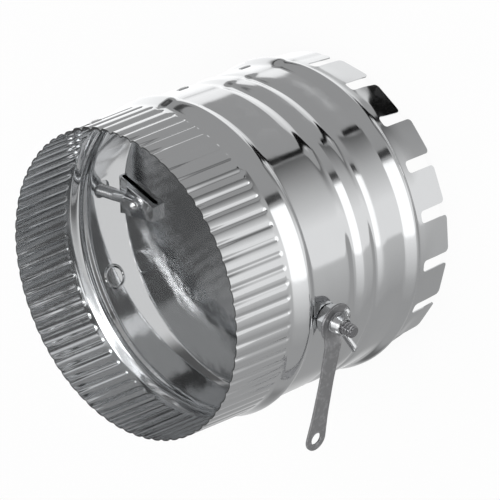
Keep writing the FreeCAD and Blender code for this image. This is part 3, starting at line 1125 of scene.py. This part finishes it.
@dataclass
class Damper:
    """Blade with its two clips and pins, in millimetres about the pin line."""

    half_x: float = 64.0
    half_y: float = 74.1
    thick: float = 0.7
    sag: float = 0.10
    sag_runs: Tuple[float, float] = (19.0, 23.0)
    sag_phase: float = 0.6
    rim_from: float = 0.99
    rim_share: float = 0.01
    rim_drop: float = 0.08
    tilt: float = 6.5
    shaft_z: float = 84.0
    gap: float = 0.02
    clip_t: float = 1.0
    clip_len: float = 25.0
    clip_outer: float = 10.4
    clip_inner: float = 4.1
    clip_skew: float = 4.0
    strap_in: float = 51.5
    strap_out: float = 59.6
    strap_rise: float = 0.9
    strap_run: float = 2.2
    strap_sink: float = 0.36
    fillet_rise: float = 0.9
    fillet_in: float = 0.7
    fillet_run: float = 0.8
    fillet_from: float = 2.0
    plate_lift: float = 1.2
    lift_from: float = 0.3
    lift_run: float = 2.4
    edge_drop: float = 0.3
    edge_share: float = 0.07
    fold_r: float = 0.85
    fold_out: float = 0.15
    fold_lap: float = 0.8
    back_edge: float = 0.3
    prong_half: float = 0.45
    prong_w: float = 2.4
    prong_rise: float = 2.2
    prong_in: float = 1.1
    prong_edge: float = 0.5
    prong_curl: float = 0.5
    pin_r: float = 3.175
    pin_inner: float = 50.5
    pin_outer: float = 94.0
    tail_outer: float = 84.5
    thread_from: float = 72.0
    tail_thread_from: float = 65.0
    pitch: float = 1.62
    thread_depth: float = 0.72
    thread_fade: float = 1.4
    crest: float = 0.18
    flank: float = 0.66
    flank_mix: Tuple[float, float] = (0.35, 0.65)
    turn_rows: int = 11
    chamfer: float = 0.75
    end_rim: float = 0.76
    end_flat: float = 1.6
    end_dip: float = 0.05
    under: float = 0.12
    tail_nut: float = 78.85
    tail_shift: float = 2.0
    tail_skew: float = 7.5
    tail_dip: float = 3.5

    @property
    def flat(self) -> float:
        """Height of the face just under the pins."""
        return -(self.pin_r + self.gap)

    @property
    def clip_x(self) -> Tuple[float, float]:
        """Inner end and fold of a clip."""
        return self.half_x + self.gap - self.clip_len, self.half_x + self.gap

    def width(self, x: Array) -> Array:
        """Half width of a clip along the pin line."""
        share = np.clip((x - self.clip_x[0]) / self.clip_len, 0, 1)
        return self.clip_inner + (self.clip_outer - self.clip_inner) * share

    def seat(self, side: int = 1) -> Matrix:
        """Movement from the pin line's own axes to the duct's, for the lever (1) or tail (-1) side."""
        turn = Matrix.Rotation(0.0 if side > 0 else math.pi, 4, "Z")
        tilt = Matrix.Rotation(math.radians(self.tilt), 4, "X")
        return Matrix.Translation((0, 0, self.shaft_z)) @ tilt @ turn

    def blade(self) -> Skin:
        """Flat oval plate with a slightly uneven face.

        Returns:
            The skin.
        """
        t = around(256)[None, :]
        s = np.array([0.0005, 0.1, 0.2, 0.3, 0.4, 0.5, 0.6, 0.7, 0.8, 0.88, 0.94, 0.975, 0.992, 1.0])[:, None]
        x, y = self.half_x * s * np.cos(t), self.half_y * s * np.sin(t)
        top = self.flat - self.clip_t - self.gap
        run_x, run_y = self.sag_runs
        sag = self.sag * np.sin(x / run_x + self.sag_phase) * np.sin(y / run_y) * (1 - s ** 6)
        round_off = np.where(s > self.rim_from, self.rim_drop * (s - self.rim_from) / self.rim_share, 0.0)
        skin = Skin()
        upper = skin.grid(spread(x, y, top + sag - round_off), loop=True)
        lower = skin.grid(spread(x, y, top - self.thick + sag + round_off), loop=True, flip=True)
        skin.bridge(upper[-1], lower[-1], loop=True)
        return skin

    def clip(self, skew: float) -> Skin:
        """Folded clip: tapered plate that stands off the blade, a pocket over the pin, fold and back.

        Args:
            skew: sideways run of the pin under the pocket, in degrees.

        Returns:
            The skin.
        """
        skin = Skin()
        self.clip_plate(skin, skew)
        x, z = as_columns(self.fold_path())
        t = np.linspace(-1, 1, 9)[None, :]
        fold = skin.grid(spread(x, t * self.width(x), z), loop_rows=True)
        skin.cap(fold[:, 0])
        skin.cap(fold[:, -1], flip=True)
        return skin

    def clip_plate(self, skin: Skin, skew: float) -> None:
        """Add a clip's plate with its pocket.

        Args:
            skin: where points and faces go.
            skew: sideways run of the pin under the pocket, in degrees.
        """
        inner, fold = self.clip_x
        s = np.sort(np.concatenate([np.linspace(0, 1, 64), [0.01, 0.022, 0.035]]))[:, None]
        t = np.linspace(-1.0, 1.0, 73)[None, :]
        x = inner + s * self.clip_len
        y = t * self.width(x)
        top = self.flat + self.plate_lift * ease((x - inner - self.lift_from) / self.lift_run)
        off = y + (fold - x) * math.tan(math.radians(skew))
        reach = np.sqrt(off ** 2 + np.minimum(x - self.strap_in, 0.0) ** 2)
        cover = self.pin_r + self.strap_rise
        dome = np.sqrt(np.maximum(cover ** 2 - reach ** 2, 0.0)) - self.strap_sink
        beyond = np.maximum(reach - cover + self.fillet_in, 0.0)
        fillet = self.fillet_rise * np.exp(-beyond / self.fillet_run) * (reach > self.fillet_from)
        rise = np.maximum(dome - top, fillet) * ease((self.strap_out - x) / self.strap_run)
        soft = self.edge_drop * (ease((1 - np.abs(t)) / self.edge_share) - 1)
        upper = skin.add(spread(x, y, top + rise + soft))
        under = skin.add(spread(x, y, top - self.clip_t))
        skin.quads(upper, flip=True)
        skin.quads(under)
        for edge, flip in ((np.s_[0], False), (np.s_[:, -1], False), (np.s_[:, 0], True)):
            skin.bridge(upper[edge], under[edge], flip=flip)

    def fold_path(self) -> List[Tuple[float, float]]:
        """Section of a clip's fold and back, seen along the blade's end.

        Returns:
            Pairs of x and height.
        """
        inner, fold = self.clip_x
        back_top = self.flat - self.clip_t - 2 * self.gap - self.thick
        back, high = back_top - self.clip_t, self.flat + self.plate_lift
        r, out, lap = self.fold_r, fold + self.fold_out, fold - self.fold_lap
        return ([(lap, high)] + arc((out, high - r), r, 90, 0, 7) + arc((out, back + r), r, 0, -90, 7)
                + [(inner + self.back_edge, back), (inner, back + self.back_edge), (inner, back_top),
                   (fold - self.gap, back_top), (fold - self.gap, high - self.clip_t),
                   (lap, high - self.clip_t)])

    def prong(self) -> Skin:
        """Small tongue of the clip, pushed up through the blade and curled over.

        Returns:
            The skin.
        """
        x = self.half_x - self.clip_len + self.prong_in
        base = self.flat - 2 * self.clip_t - self.thick
        bend = base + self.prong_rise
        path = [(x, base), (x, bend)]
        path += [(x - self.prong_curl * (1 - math.cos(a)), bend + math.sin(a)) for a in (0.5, 1.0, 1.5)]
        mid = np.array(path)
        step = np.gradient(mid, axis=0)
        step /= np.linalg.norm(step, axis=1)[:, None]
        side = np.stack([-step[:, 1], step[:, 0]], 1) * self.prong_half
        start = self.prong_edge - self.clip_inner
        y = np.linspace(start, start + self.prong_w, 7)[None, :]
        skin = Skin()
        a, b = (skin.grid(spread(line[:, :1], y, line[:, 1:]), flip=flip)
                for line, flip in ((mid + side, False), (mid - side, True)))
        skin.bridge(a[:, 0], b[:, 0], flip=True)
        skin.bridge(a[:, -1], b[:, -1])
        skin.bridge(a[-1], b[-1])
        return skin

    def pin(self, outer: float, thread_from: float) -> Skin:
        """Pin with a rolled thread towards its outer end.

        Args:
            outer: outer end along the pin line.
            thread_from: where the thread starts.

        Returns:
            The skin.
        """
        inner, shank = self.pin_inner, self.pin_r - self.under
        rows = int((outer - thread_from) / self.pitch * self.turn_rows)
        x = np.concatenate([[inner], np.linspace(inner + 0.4, thread_from - 0.1, 12),
                            np.linspace(thread_from, outer, rows)])[:, None]
        turn = np.linspace(0, 2 * math.pi, 49)[None, :]
        phase = np.mod(x / self.pitch - turn / (2 * math.pi), 1.0)
        ridge = np.clip((np.abs(2 * phase - 1) - self.crest) / self.flank, 0, 1)
        straight, curved = self.flank_mix
        ridge = ridge * straight + ease(ridge) * curved
        fade = ease((x - thread_from) / self.thread_fade)
        r = self.pin_r - self.under * (1 - fade) - self.thread_depth * (1 - ridge) * fade
        chamfered = self.pin_r - np.clip(x - (outer - self.chamfer), 0, 1)
        skin = Skin()
        skin.grid(about_x(np.minimum(r, chamfered), turn, x))
        skin.revolve([(outer, self.pin_r - self.end_rim), (outer, self.end_flat),
                      (outer - self.end_dip, 0.01)], turn)
        skin.revolve([(inner, 0.01), (inner, shank)], turn)
        return skin

    def tail_lean(self) -> Matrix:
        """Lean of the tail pin about the middle of its nut."""
        nut = Vector((self.tail_nut, 0.0, 0.0))
        return (Matrix.Translation(nut) @ Matrix.Rotation(math.radians(self.tail_skew), 4, "Z")
                @ Matrix.Rotation(math.radians(-self.tail_dip), 4, "Y") @ Matrix.Translation(-nut))

    def build(self, blade: Material, sheet: Material, plated: Material, dark: Material) -> List[Object]:
        """Make the blade, clips and pins.

        Args:
            blade: finish of the blade.
            sheet: finish of the clips.
            plated: finish of the tail pin.
            dark: darker copy of the plated finish for the lever pin, painted shade.

        Returns:
            The new objects.
        """
        disc = self.blade().turned(self.seat()).piece("blade_plate", blade, 50.0)
        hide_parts("damper_blade")
        made = [disc]
        slide = Matrix.Translation((0.0, -self.tail_shift, 0.0))
        still = Matrix.Identity(4)
        lever = (1, "lever", self.pin(self.pin_outer, self.thread_from), still, dark, 0.0, still)
        tail = (-1, "tail", self.pin(self.tail_outer, self.tail_thread_from), self.tail_lean(), plated,
                self.clip_skew, slide)
        for side, word, pin, lean, finish, skew, shift in (lever, tail):
            seat = self.seat(side) @ shift
            clip = merge(word + "_clip_plate",
                         [self.clip(skew).turned(seat).piece("clip_part", sheet, 38.0),
                          self.prong().turned(seat).piece("prong_part", sheet, 50.0)])
            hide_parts(word + "_clip")
            rod = pin.turned(self.seat(side) @ lean).piece(word + "_threaded_pin", finish, 60.0)
            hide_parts(word + "_pin")
            made += [clip, rod]
        for piece in made:
            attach(piece, "damper")
        return made


# Lever and its hardware


@dataclass
class LeverSet:
    """Nuts, lever, spring washer and wing nut along the pin line, in millimetres."""

    shaft_z: float = 84.0
    tilt: float = 6.5
    nut_x: float = 76.5
    nut_t: float = 4.7
    nut_flats: float = 12.7
    nut_turn: float = 12.0
    nut_face: float = 0.485
    nut_slope: float = 1.75
    bore: float = 3.195
    bore_edge: float = 0.45
    lever_x: float = 81.22
    lever_t: float = 1.2
    lever_edge: float = 0.2
    dish: float = 1.5
    dish_r: float = 9.2
    step_from: float = 6.8
    step_run: float = 5.0
    rim_rise: float = 0.55
    rim_from: float = 6.6
    rim_run: float = 2.2
    rim_end: float = 6.5
    lever_len: float = 60.0
    lever_offset: float = 12.5
    neck: float = 5.2
    waist: float = 4.5
    tip_r: float = 6.1
    hang_r: float = 3.1
    washer_x: float = 82.44
    washer_t: float = 1.2
    washer_r: float = 5.3
    washer_angle: float = 165.0
    washer_split: float = 0.11
    washer_edge: float = 0.2
    washer_slack: float = 0.09
    washer_fill: float = 0.9
    wing_x: float = 83.66
    hub_r: float = 5.4
    hub_top: float = 4.5
    hub_t: float = 4.6
    hub_edge: float = 0.35
    bore_slack: float = 0.04
    ear_t: float = 2.1
    ear_len: float = 9.4
    ear_reach: float = 10.2
    ear_w: float = 4.6
    ear_round: float = 0.9
    ear_edge: float = 0.5
    wing_angle: float = 20.0

    def seat(self, turn: float, x: float, mirrored: bool = False) -> Matrix:
        """Movement from pin axes to the duct's.

        Args:
            turn: angle about the pin line in degrees.
            x: distance along the pin line.
            mirrored: for the tail side.

        Returns:
            The movement in millimetres.
        """
        flip = Matrix.Rotation(math.pi if mirrored else 0.0, 4, "Z")
        return (Matrix.Translation((0, 0, self.shaft_z)) @ Matrix.Rotation(math.radians(turn), 4, "X")
                @ flip @ Matrix.Translation((x, 0, 0)))

    def hex_nut(self) -> Skin:
        """Hexagon nut with chamfered corners and a chamfered bore mouth at each face.

        Returns:
            The skin.
        """
        turn = np.linspace(0, 2 * math.pi, 121)[None, :]
        step = math.pi / 3
        off = np.mod(turn - math.radians(self.nut_turn), step) - step / 2
        hexagon = self.nut_flats / 2 / np.cos(off)
        half = np.array([0.0, 0.12, 0.3, 0.5, 0.75, 1.0, 1.4])
        x = np.concatenate([half, [self.nut_t / 2], self.nut_t - half[::-1]])[:, None]
        face_r = self.nut_face * self.nut_flats
        cone = face_r + self.nut_slope * np.minimum(x, self.nut_t - x)
        skin = Skin()
        skin.grid(about_x(np.minimum(hexagon, cone), turn, x))
        edge = self.bore_edge
        for at, inwards in ((0.0, edge), (self.nut_t, -edge)):
            skin.revolve([(at + inwards, self.bore), (at, self.bore + edge), (at, face_r)], turn,
                         flip=inwards > 0)
        return skin

    def lever_outline(self) -> Array:
        """Outline of the lever, the pin's centre at the origin and the tip along the first axis.

        Returns:
            Pairs of points.
        """
        tip = self.lever_len
        start = math.asin(self.neck / self.dish_r)
        along = np.linspace(self.dish_r * math.cos(start) + 0.5, tip, 40)
        marks = [(0.0, self.neck), (14.0, self.neck - 0.1), (0.5 * tip, self.waist),
                 (0.8 * tip, 0.7 * self.waist + 0.3 * self.tip_r), (tip, self.tip_r)]
        side = np.interp(along, *zip(*marks))
        for _ in range(3):
            side[1:-1] = (side[:-2] + 2 * side[1:-1] + side[2:]) / 4
        eye = arc((0.0, 0.0), self.dish_r, math.degrees(start), 360.0 - math.degrees(start), 60)
        end = arc((tip, 0.0), self.tip_r, -90.0, 90.0, 28)[1:-1]
        return np.array(eye + list(zip(along, -side)) + end + list(zip(along[::-1], side[::-1])))

    def lever_rise(self, along: float, across: float) -> float:
        """How far the strip steps out past the eye, and the eye's raised rim.

        Args:
            along: distance from the pin towards the tip.
            across: distance to the side.

        Returns:
            The rise in millimetres.
        """
        out = self.dish * float(ease((along - self.step_from) / self.step_run))
        rim = self.rim_rise * float(ease((math.hypot(along, across) - self.rim_from) / self.rim_run))
        return out + (rim if along < self.rim_end else 0.0)

    def lever(self, finish: Material) -> Object:
        """Stamped strip with its dished eye and hanging hole.

        Args:
            finish: its finish.

        Returns:
            The new object.
        """
        holes = [circle(self.bore, 40), circle(self.hang_r, 36, (self.lever_len, 0.0))]
        flat = plate("lever_strip", self.lever_outline(), holes, self.lever_t, self.lever_edge, finish,
                     Matrix.Identity(4))
        shape = bmesh.new()
        shape.from_mesh(flat.data)
        cuts = np.concatenate([np.linspace(-8.0, 5.5, 7), np.linspace(6.3, 12.6, 12), [20.0, 30.0, 40.0]])
        for place in cuts:
            bmesh.ops.bisect_plane(shape, geom=shape.verts[:] + shape.edges[:] + shape.faces[:],
                                   plane_co=(float(place) * MM, 0.0, 0.0), plane_no=(1.0, 0.0, 0.0))
        for vert in shape.verts:
            vert.co.z += self.lever_rise(vert.co.x / MM, vert.co.y / MM) * MM
        shape.to_mesh(flat.data)
        shape.free()
        lay = Matrix(((0, 0, 1, 0), (1, 0, 0, 0), (0, 1, 0, 0), (0, 0, 0, 1)))
        seat = self.seat(180.0 - self.lever_offset + self.tilt, self.lever_x + self.lever_t / 2) @ lay
        seat.translation = seat.translation * MM
        flat.data.transform(seat)
        flat.data.set_sharp_from_angle(angle=math.radians(35.0))
        return flat

    def washer(self) -> Skin:
        """Split washer, its two ends a little apart.

        Returns:
            The skin.
        """
        turn = np.linspace(self.washer_split, 2 * math.pi - self.washer_split, 90)[:, None]
        half, edge = self.washer_t / 2, self.washer_edge
        low, high = self.bore + self.washer_slack + edge, self.washer_r - edge
        section = []
        for i, (x, r) in enumerate(((half - edge, high), (edge - half, high), (edge - half, low),
                                    (half - edge, low))):
            section += arc((x, r), edge, 90 * i, 90 * i + 90, 3)
        x, r = as_columns(section)
        skin = Skin()
        ids = skin.grid(about_x(r.T, turn, half + x.T * self.washer_fill), loop=True)
        skin.cap(ids[0])
        skin.cap(ids[-1], flip=True)
        return skin

    def wing(self, finish: Material) -> Object:
        """Wing nut: coned hub and two leaning ears.

        Args:
            finish: its finish.

        Returns:
            The new object.
        """
        t, r, top, edge = self.hub_t, self.hub_r, self.hub_top, self.hub_edge
        mouth, bore = self.bore + self.bore_edge, self.bore + self.bore_slack
        hub = Skin()
        hub.revolve([(edge, bore), (0.0, mouth), (0.0, r - edge), (edge, r), (0.9, r - 0.08),
                     (t * 0.6, top + 0.25), (t - 0.5, top), (t, top - 0.5), (t, mouth), (t - 0.4, bore)],
                    around(64), loop=True, closed=True)
        seat = self.seat(self.wing_angle, self.wing_x)
        parts = [hub.turned(seat).piece("wing_hub", finish, 35.0)]
        root, reach, end, wide = 0.5 * (self.bore + top), self.ear_reach, self.ear_len, self.ear_w
        tip = reach + wide
        ear = self.rounded([(0.13 * t, root), (0.13 * t, r), (0.34 * end, r + 0.5 * wide),
                            (0.83 * end, tip - 0.13 * wide), (end, tip - 0.56 * wide), (end, reach),
                            (0.9 * t, root)], self.ear_round)
        for outline in (ear, (ear * (1.0, -1.0))[::-1]):
            parts.append(plate("wing_ear", outline, [], self.ear_t, self.ear_edge, finish, seat))
        return merge("wing_nut_body", parts)

    @staticmethod
    def rounded(points: Pairs, radius: float) -> Array:
        """Outline with its corners rounded.

        Args:
            points: corners of the outline.
            radius: how far from each corner the rounding starts.

        Returns:
            The new outline.
        """
        corners = np.array(points)
        out = []
        for a, b, c in zip(np.roll(corners, 1, axis=0), corners, np.roll(corners, -1, axis=0)):
            back, ahead = np.linalg.norm(a - b), np.linalg.norm(c - b)
            cut = min(radius, 0.45 * back, 0.45 * ahead)
            p, q = b + (a - b) / back * cut, b + (c - b) / ahead * cut
            out += [(1 - t) ** 2 * p + 2 * t * (1 - t) * b + t * t * q for t in np.linspace(0, 1, 6)]
        return np.array(out)

    def build(self, plated: Material, dull: Material) -> List[Object]:
        """Make the nuts, lever, washer and wing nut.

        Args:
            plated: bright plated finish.
            dull: dull finish of the lever.

        Returns:
            The new objects.
        """
        made = []
        for word in ("lever", "tail"):
            nut = self.hex_nut().turned(self.seat(self.tilt, self.nut_x, word == "tail"))
            made.append((nut.piece(word + "_hex_nut", plated, 30.0), word + "_nut", "damper", "zinc_plated"))
        ring = self.washer().turned(self.seat(self.washer_angle, self.washer_x))
        made += [(self.lever(dull), "lever_handle", "damper", "lever_steel"),
                 (ring.piece("split_washer", plated, 40.0), "spring_washer", "washer", "zinc_plated"),
                 (self.wing(plated), "wing_nut", "wing", "zinc_plated")]
        for piece, node, body, slot in made:
            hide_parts(node)
            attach(piece, body)
        return [piece for piece, _, _, _ in made]


# Studio


@dataclass(frozen=True)
class Card:
    """A studio panel as the metal sees it: bearing and height in degrees, and its tone on display."""

    name: str
    bearing: float
    height: float
    half_bearing: float
    half_height: float
    tone: float
    soft: float = 4.0
    soft_height: float = 4.0
    slant: float = 0.0
    tone_slope: float = 0.0
    most: float = 2.0

    def seen(self, bearing: Field, height: Field, least: float) -> Tuple[Field, Number]:
        """Where the card is seen and how bright it is.

        Args:
            bearing: bearing of the direction, in degrees.
            height: height of the direction, in degrees.
            least: the darkest that a sloping tone gets.

        Returns:
            1 on the card and 0 elsewhere, and its linear light.
        """
        across = bearing - self.bearing
        if self.slant:
            across = across - (height - self.height) * self.slant
        across = across.wrap(-180.0, 180.0)
        mask = self.band(across, self.half_bearing, self.soft)
        mask = mask * self.band(height - self.height, self.half_height, self.soft_height)
        level = linear(self.tone)
        if self.tone_slope:
            level = (across * (self.tone_slope * 2.0 * self.tone) + level).held(least, linear(self.most))
        return mask, level

    @staticmethod
    def band(off: Field, half: float, soft: float) -> Field:
        """1 within half of the middle, with a soft edge."""
        return abs(off).step(half + soft / 2, half - soft / 2)


@dataclass(frozen=True)
class Strip:
    """A dark strip on the table: both ends in units of the height above it, half widths and tone."""

    name: str
    start: Tuple[float, float]
    end: Tuple[float, float]
    half_start: float
    half_end: float
    tone: float
    soft: float = 0.03
    soft_end: float = 0.02
    soft_drop: float = 0.05

    def mask(self, across: Field, ahead: Field, below: Field) -> Field:
        """Where the strip is seen.

        Args:
            across: x of the direction over its drop.
            ahead: y of the direction over its drop.
            below: drop of the direction, positive when it points down.

        Returns:
            1 on the strip and 0 elsewhere.
        """
        run = math.hypot(self.end[0] - self.start[0], self.end[1] - self.start[1])
        ux, uy = (self.end[0] - self.start[0]) / run, (self.end[1] - self.start[1]) / run
        dx, dy = across - self.start[0], ahead - self.start[1]
        along = dx * ux + dy * uy
        side = abs(dy * ux - dx * uy)
        half = along * ((self.half_end - self.half_start) / run) + self.half_start
        inside = (side - half).step(self.soft / 2, -self.soft / 2)
        ends = along.step(-self.soft_end, self.soft_end) * (run - along).step(-self.soft_end, self.soft_end)
        return inside * ends * below.step(0.0, self.soft_drop)


@dataclass
class Studio:
    """Floor, world, lamps and camera. The metal sees the cards, the camera sees white."""

    eye: Tuple[float, float, float] = (717.1, 567.6, 836.75)
    right: Tuple[float, float, float] = (0.70429, 0.07973, -0.70542)
    down: Tuple[float, float, float] = (0.3885, -0.87496, 0.28899)
    lens: float = 181.13
    surround: float = 0.60
    gain: float = 1.12
    least: float = 0.04
    least_drop: float = 0.02
    floor_z: float = -0.02
    paper_z: float = -0.01
    floor_white: float = 0.93
    floor_grey: float = 0.9
    paper_r: float = 72.0
    # Glowing paper: tone of its painted shadow of the collar, tone of its painted light, and where the
    # painted shadow ends.
    paper_shadow_and_lit_tones: Tuple[float, float] = (0.10, 0.70)
    paper_shadow_edge: Tuple[float, float] = (-46.0, -20.0)
    cards: Tuple[Card, ...] = (
        Card("pale wall behind the tail", 193.0, 0.0, 39.0, 95.0, 1.04, 8.0, 4.0, 0.0, 0.003),
        Card("pale wall fades", 244.0, -20.0, 13.0, 75.0, 0.74, 18.0, 4.0, 0.0, -0.006),
        Card("grey board over the seam", 105.0, 10.0, 49.0, 53.0, 0.585, 1.2, 2.0),
        Card("side fill", -22.0, -20.0, 22.0, 40.0, 0.675, 8.0, 10.0, 0.0, 0.0032),
        Card("edge of the softbox", -10.0, -9.0, 20.0, 21.0, 0.84, 12.0, 8.0, 0.0, 0.0085),
        Card("long front softbox", 24.0, -9.0, 24.0, 21.0, 1.06, 3.0, 7.0),
        Card("glow under the softbox", 38.0, -52.0, 40.0, 24.0, 0.80, 3.0, 6.0, 0.0, -0.0079, 0.89),
        Card("side shade", -93.0, 0.0, 10.0, 26.0, 0.40, 12.0, 10.0),
        Card("board edge above", 53.6, 4.0, 2.6, 28.0, 0.24, 2.0, 6.0),
        Card("board edge by the wall", 158.0, 0.0, 3.6, 24.0, 0.26, 2.0, 5.0, 0.7),
        Card("paper on the table", 150.0, -68.0, 46.0, 24.5, 0.92, 8.0, 2.0, 0.0, 0.003),
        Card("dark room over the mouth", 12.0, 42.0, 46.0, 22.0, 0.36, 8.0, 8.0),
        Card("dark room over the tail", 222.0, 37.0, 32.0, 15.0, 0.26, 10.0, 8.0),
        Card("side light", 268.0, 30.0, 11.0, 13.0, 1.25, 5.0, 5.0),
        Card("top light", 62.0, 50.0, 8.0, 6.0, 0.92, 5.0, 5.0),
        Card("roof", 0.0, 84.0, 200.0, 18.0, 0.98, 4.0, 8.0),
        Card("lamp by the camera", 14.0, 53.0, 17.0, 4.5, 1.25, 6.0, 4.0),
        Card("lamp above", 56.0, 72.0, 42.0, 8.0, 1.85, 8.0, 6.0),
        Card("dark room behind the seam", 165.0, 50.0, 40.0, 14.0, 0.24, 6.0, 6.0),
    )
    strips: Tuple[Strip, ...] = (
        Strip("flag on the table", (-0.56, -0.22), (0.22, 1.20), 0.092, 0.040, 0.06),
    )

    def world(self) -> None:
        """Plain white to the camera, panels and boards to the metal."""
        world = bpy.data.worlds.new("studio")
        bpy.context.scene.world = world
        world.use_nodes = True
        g = Graph(world.node_tree)
        x, y, z = g.split(g.field("ShaderNodeTexCoord", output="Generated"))
        bearing = y.arctan2(x) * math.degrees(1.0)
        height = z.arcsin() * math.degrees(1.0)
        light = linear(self.surround)
        for card in self.cards:
            mask, level = card.seen(bearing, height, self.least)
            light = mask * (level - light) + light
        below = z * -1.0
        deep = below.held(self.least_drop, 1.0)
        for strip in self.strips:
            light = strip.mask(x / deep, y / deep, below) * (linear(strip.tone) - light) + light
        g.finish("World", g.seen_as(1.0, g.light("Background", grey(1.0), light * self.gain),
                                    g.light("Background", grey(1.0))))

    def floor(self) -> None:
        """Pale table top under the tabs that keeps the object's shadow."""
        made, g = blank("pale_floor")
        paper = g.node("ShaderNodeBsdfDiffuse", None, {"Color": grey(self.floor_grey)})
        g.finish("Material", g.seen_as(self.floor_white, paper, g.light("Emission", grey(1.0))))
        line = np.array([-9000.0, -2000.0, 0.0, 2000.0, 9000.0])
        x, y = np.meshgrid(line, line)
        skin = Skin()
        skin.grid(spread(x, y, self.floor_z))
        top = skin.piece("table_top", made, 60.0)
        top.visible_glossy = False

    def paper(self) -> None:
        """Glowing disc on the table inside the duct that only the metal sees: painted light on the table to
        one side and a painted shadow of the collar on the other.
        """
        made, g = blank("paper_glow_painted_shadow")
        x = g.split(g.millimetres())[0]
        # The dark side is a painted shadow of the collar on the table, and the pale side is painted light on
        # the table.
        dark, pale = self.paper_shadow_and_lit_tones
        g.finish("Material", g.light("Emission", g.mix(x.step(*self.paper_shadow_edge), grey(dark), grey(pale))))
        count = 64
        skin = Skin()
        angles = np.linspace(0.0, 360.0, count, endpoint=False)
        skin.cap(skin.add(on_wall(self.paper_r, angles, self.paper_z)))
        disc = skin.piece("glowing_paper_with_painted_shadow", made, 60.0)
        disc.visible_camera = False

    def lamps(self) -> None:
        """Two soft lamps that only light matt things; the metal sees the cards instead."""
        for name, place, size, power in (("key", (0.9, 0.2, 1.6), 1.2, 9.0),
                                         ("fill", (-0.8, 1.2, 1.5), 1.4, 6.0)):
            lamp = bpy.data.lights.new(name, "AREA")
            lamp.size = size
            lamp.energy = power
            holder = bpy.data.objects.new(name, lamp)
            holder.location = place
            holder.rotation_mode = "QUATERNION"
            holder.rotation_quaternion = (-Vector(place)).to_track_quat("-Z", "Y")
            holder.visible_glossy = False
            bpy.context.scene.collection.objects.link(holder)

    def camera(self) -> None:
        """Camera at the photograph's viewing angle."""
        forward = Vector(self.down).cross(Vector(self.right)) * -1.0
        right = Vector(self.right).normalized()
        forward.normalize()
        up = right.cross(forward).normalized()
        data = bpy.data.cameras.new("view")
        data.sensor_width = 36.0
        data.lens = self.lens
        data.clip_start = 0.05
        data.clip_end = 50.0
        eye = bpy.data.objects.new("view", data)
        basis = Matrix((right, up, -forward)).transposed()
        eye.matrix_world = Matrix.Translation(Vector(self.eye) * MM) @ basis.to_4x4()
        bpy.context.scene.collection.objects.link(eye)
        bpy.context.scene.camera = eye

    def build(self) -> None:
        """Set up everything round the object."""
        self.world()
        self.floor()
        self.paper()
        self.lamps()
        self.camera()
        bpy.context.scene.view_settings.view_transform = "Standard"


def main() -> None:
    """Build the object and its studio, and report each piece."""
    logging.basicConfig(level=logging.INFO, format="%(message)s")
    sheet = ZincSheet("galvanised_sheet").material()
    blade = ZincSheet("galvanised_blade", (0.72, 0.73, 0.74), 0.10, grain=0.7, grain_height=0.030, wave=8.0,
                      wave_height=0.2, lay=Lay.FLAT).material()
    plated = PlatedSteel("zinc_plated").material()
    # The lever pin is the same plated part as the tail pin; its darker copy of the finish is painted shade.
    dark = PlatedSteel("lever_pin_painted_shade", (0.33, 0.33, 0.34), 0.26).material()
    dull = PlatedSteel("lever_steel", (0.46, 0.46, 0.47), 0.42, 0.35, metal=0.9).material()
    collar = Collar(lean_each={8: 2.5, 9: 4.0, 10: 5.0, 13: -1.5, 15: -1.5, 16: 5.0}, twist_each={16: 4.6})
    pieces = collar.build(sheet)
    pieces += Damper().build(blade, sheet, plated, dark)
    pieces += LeverSet().build(plated, dull)
    for piece in pieces:
        LOG.info("%s: %d faces", piece.name, len(piece.data.polygons))
    Studio().build()


if __name__ == "__main__":
    main()
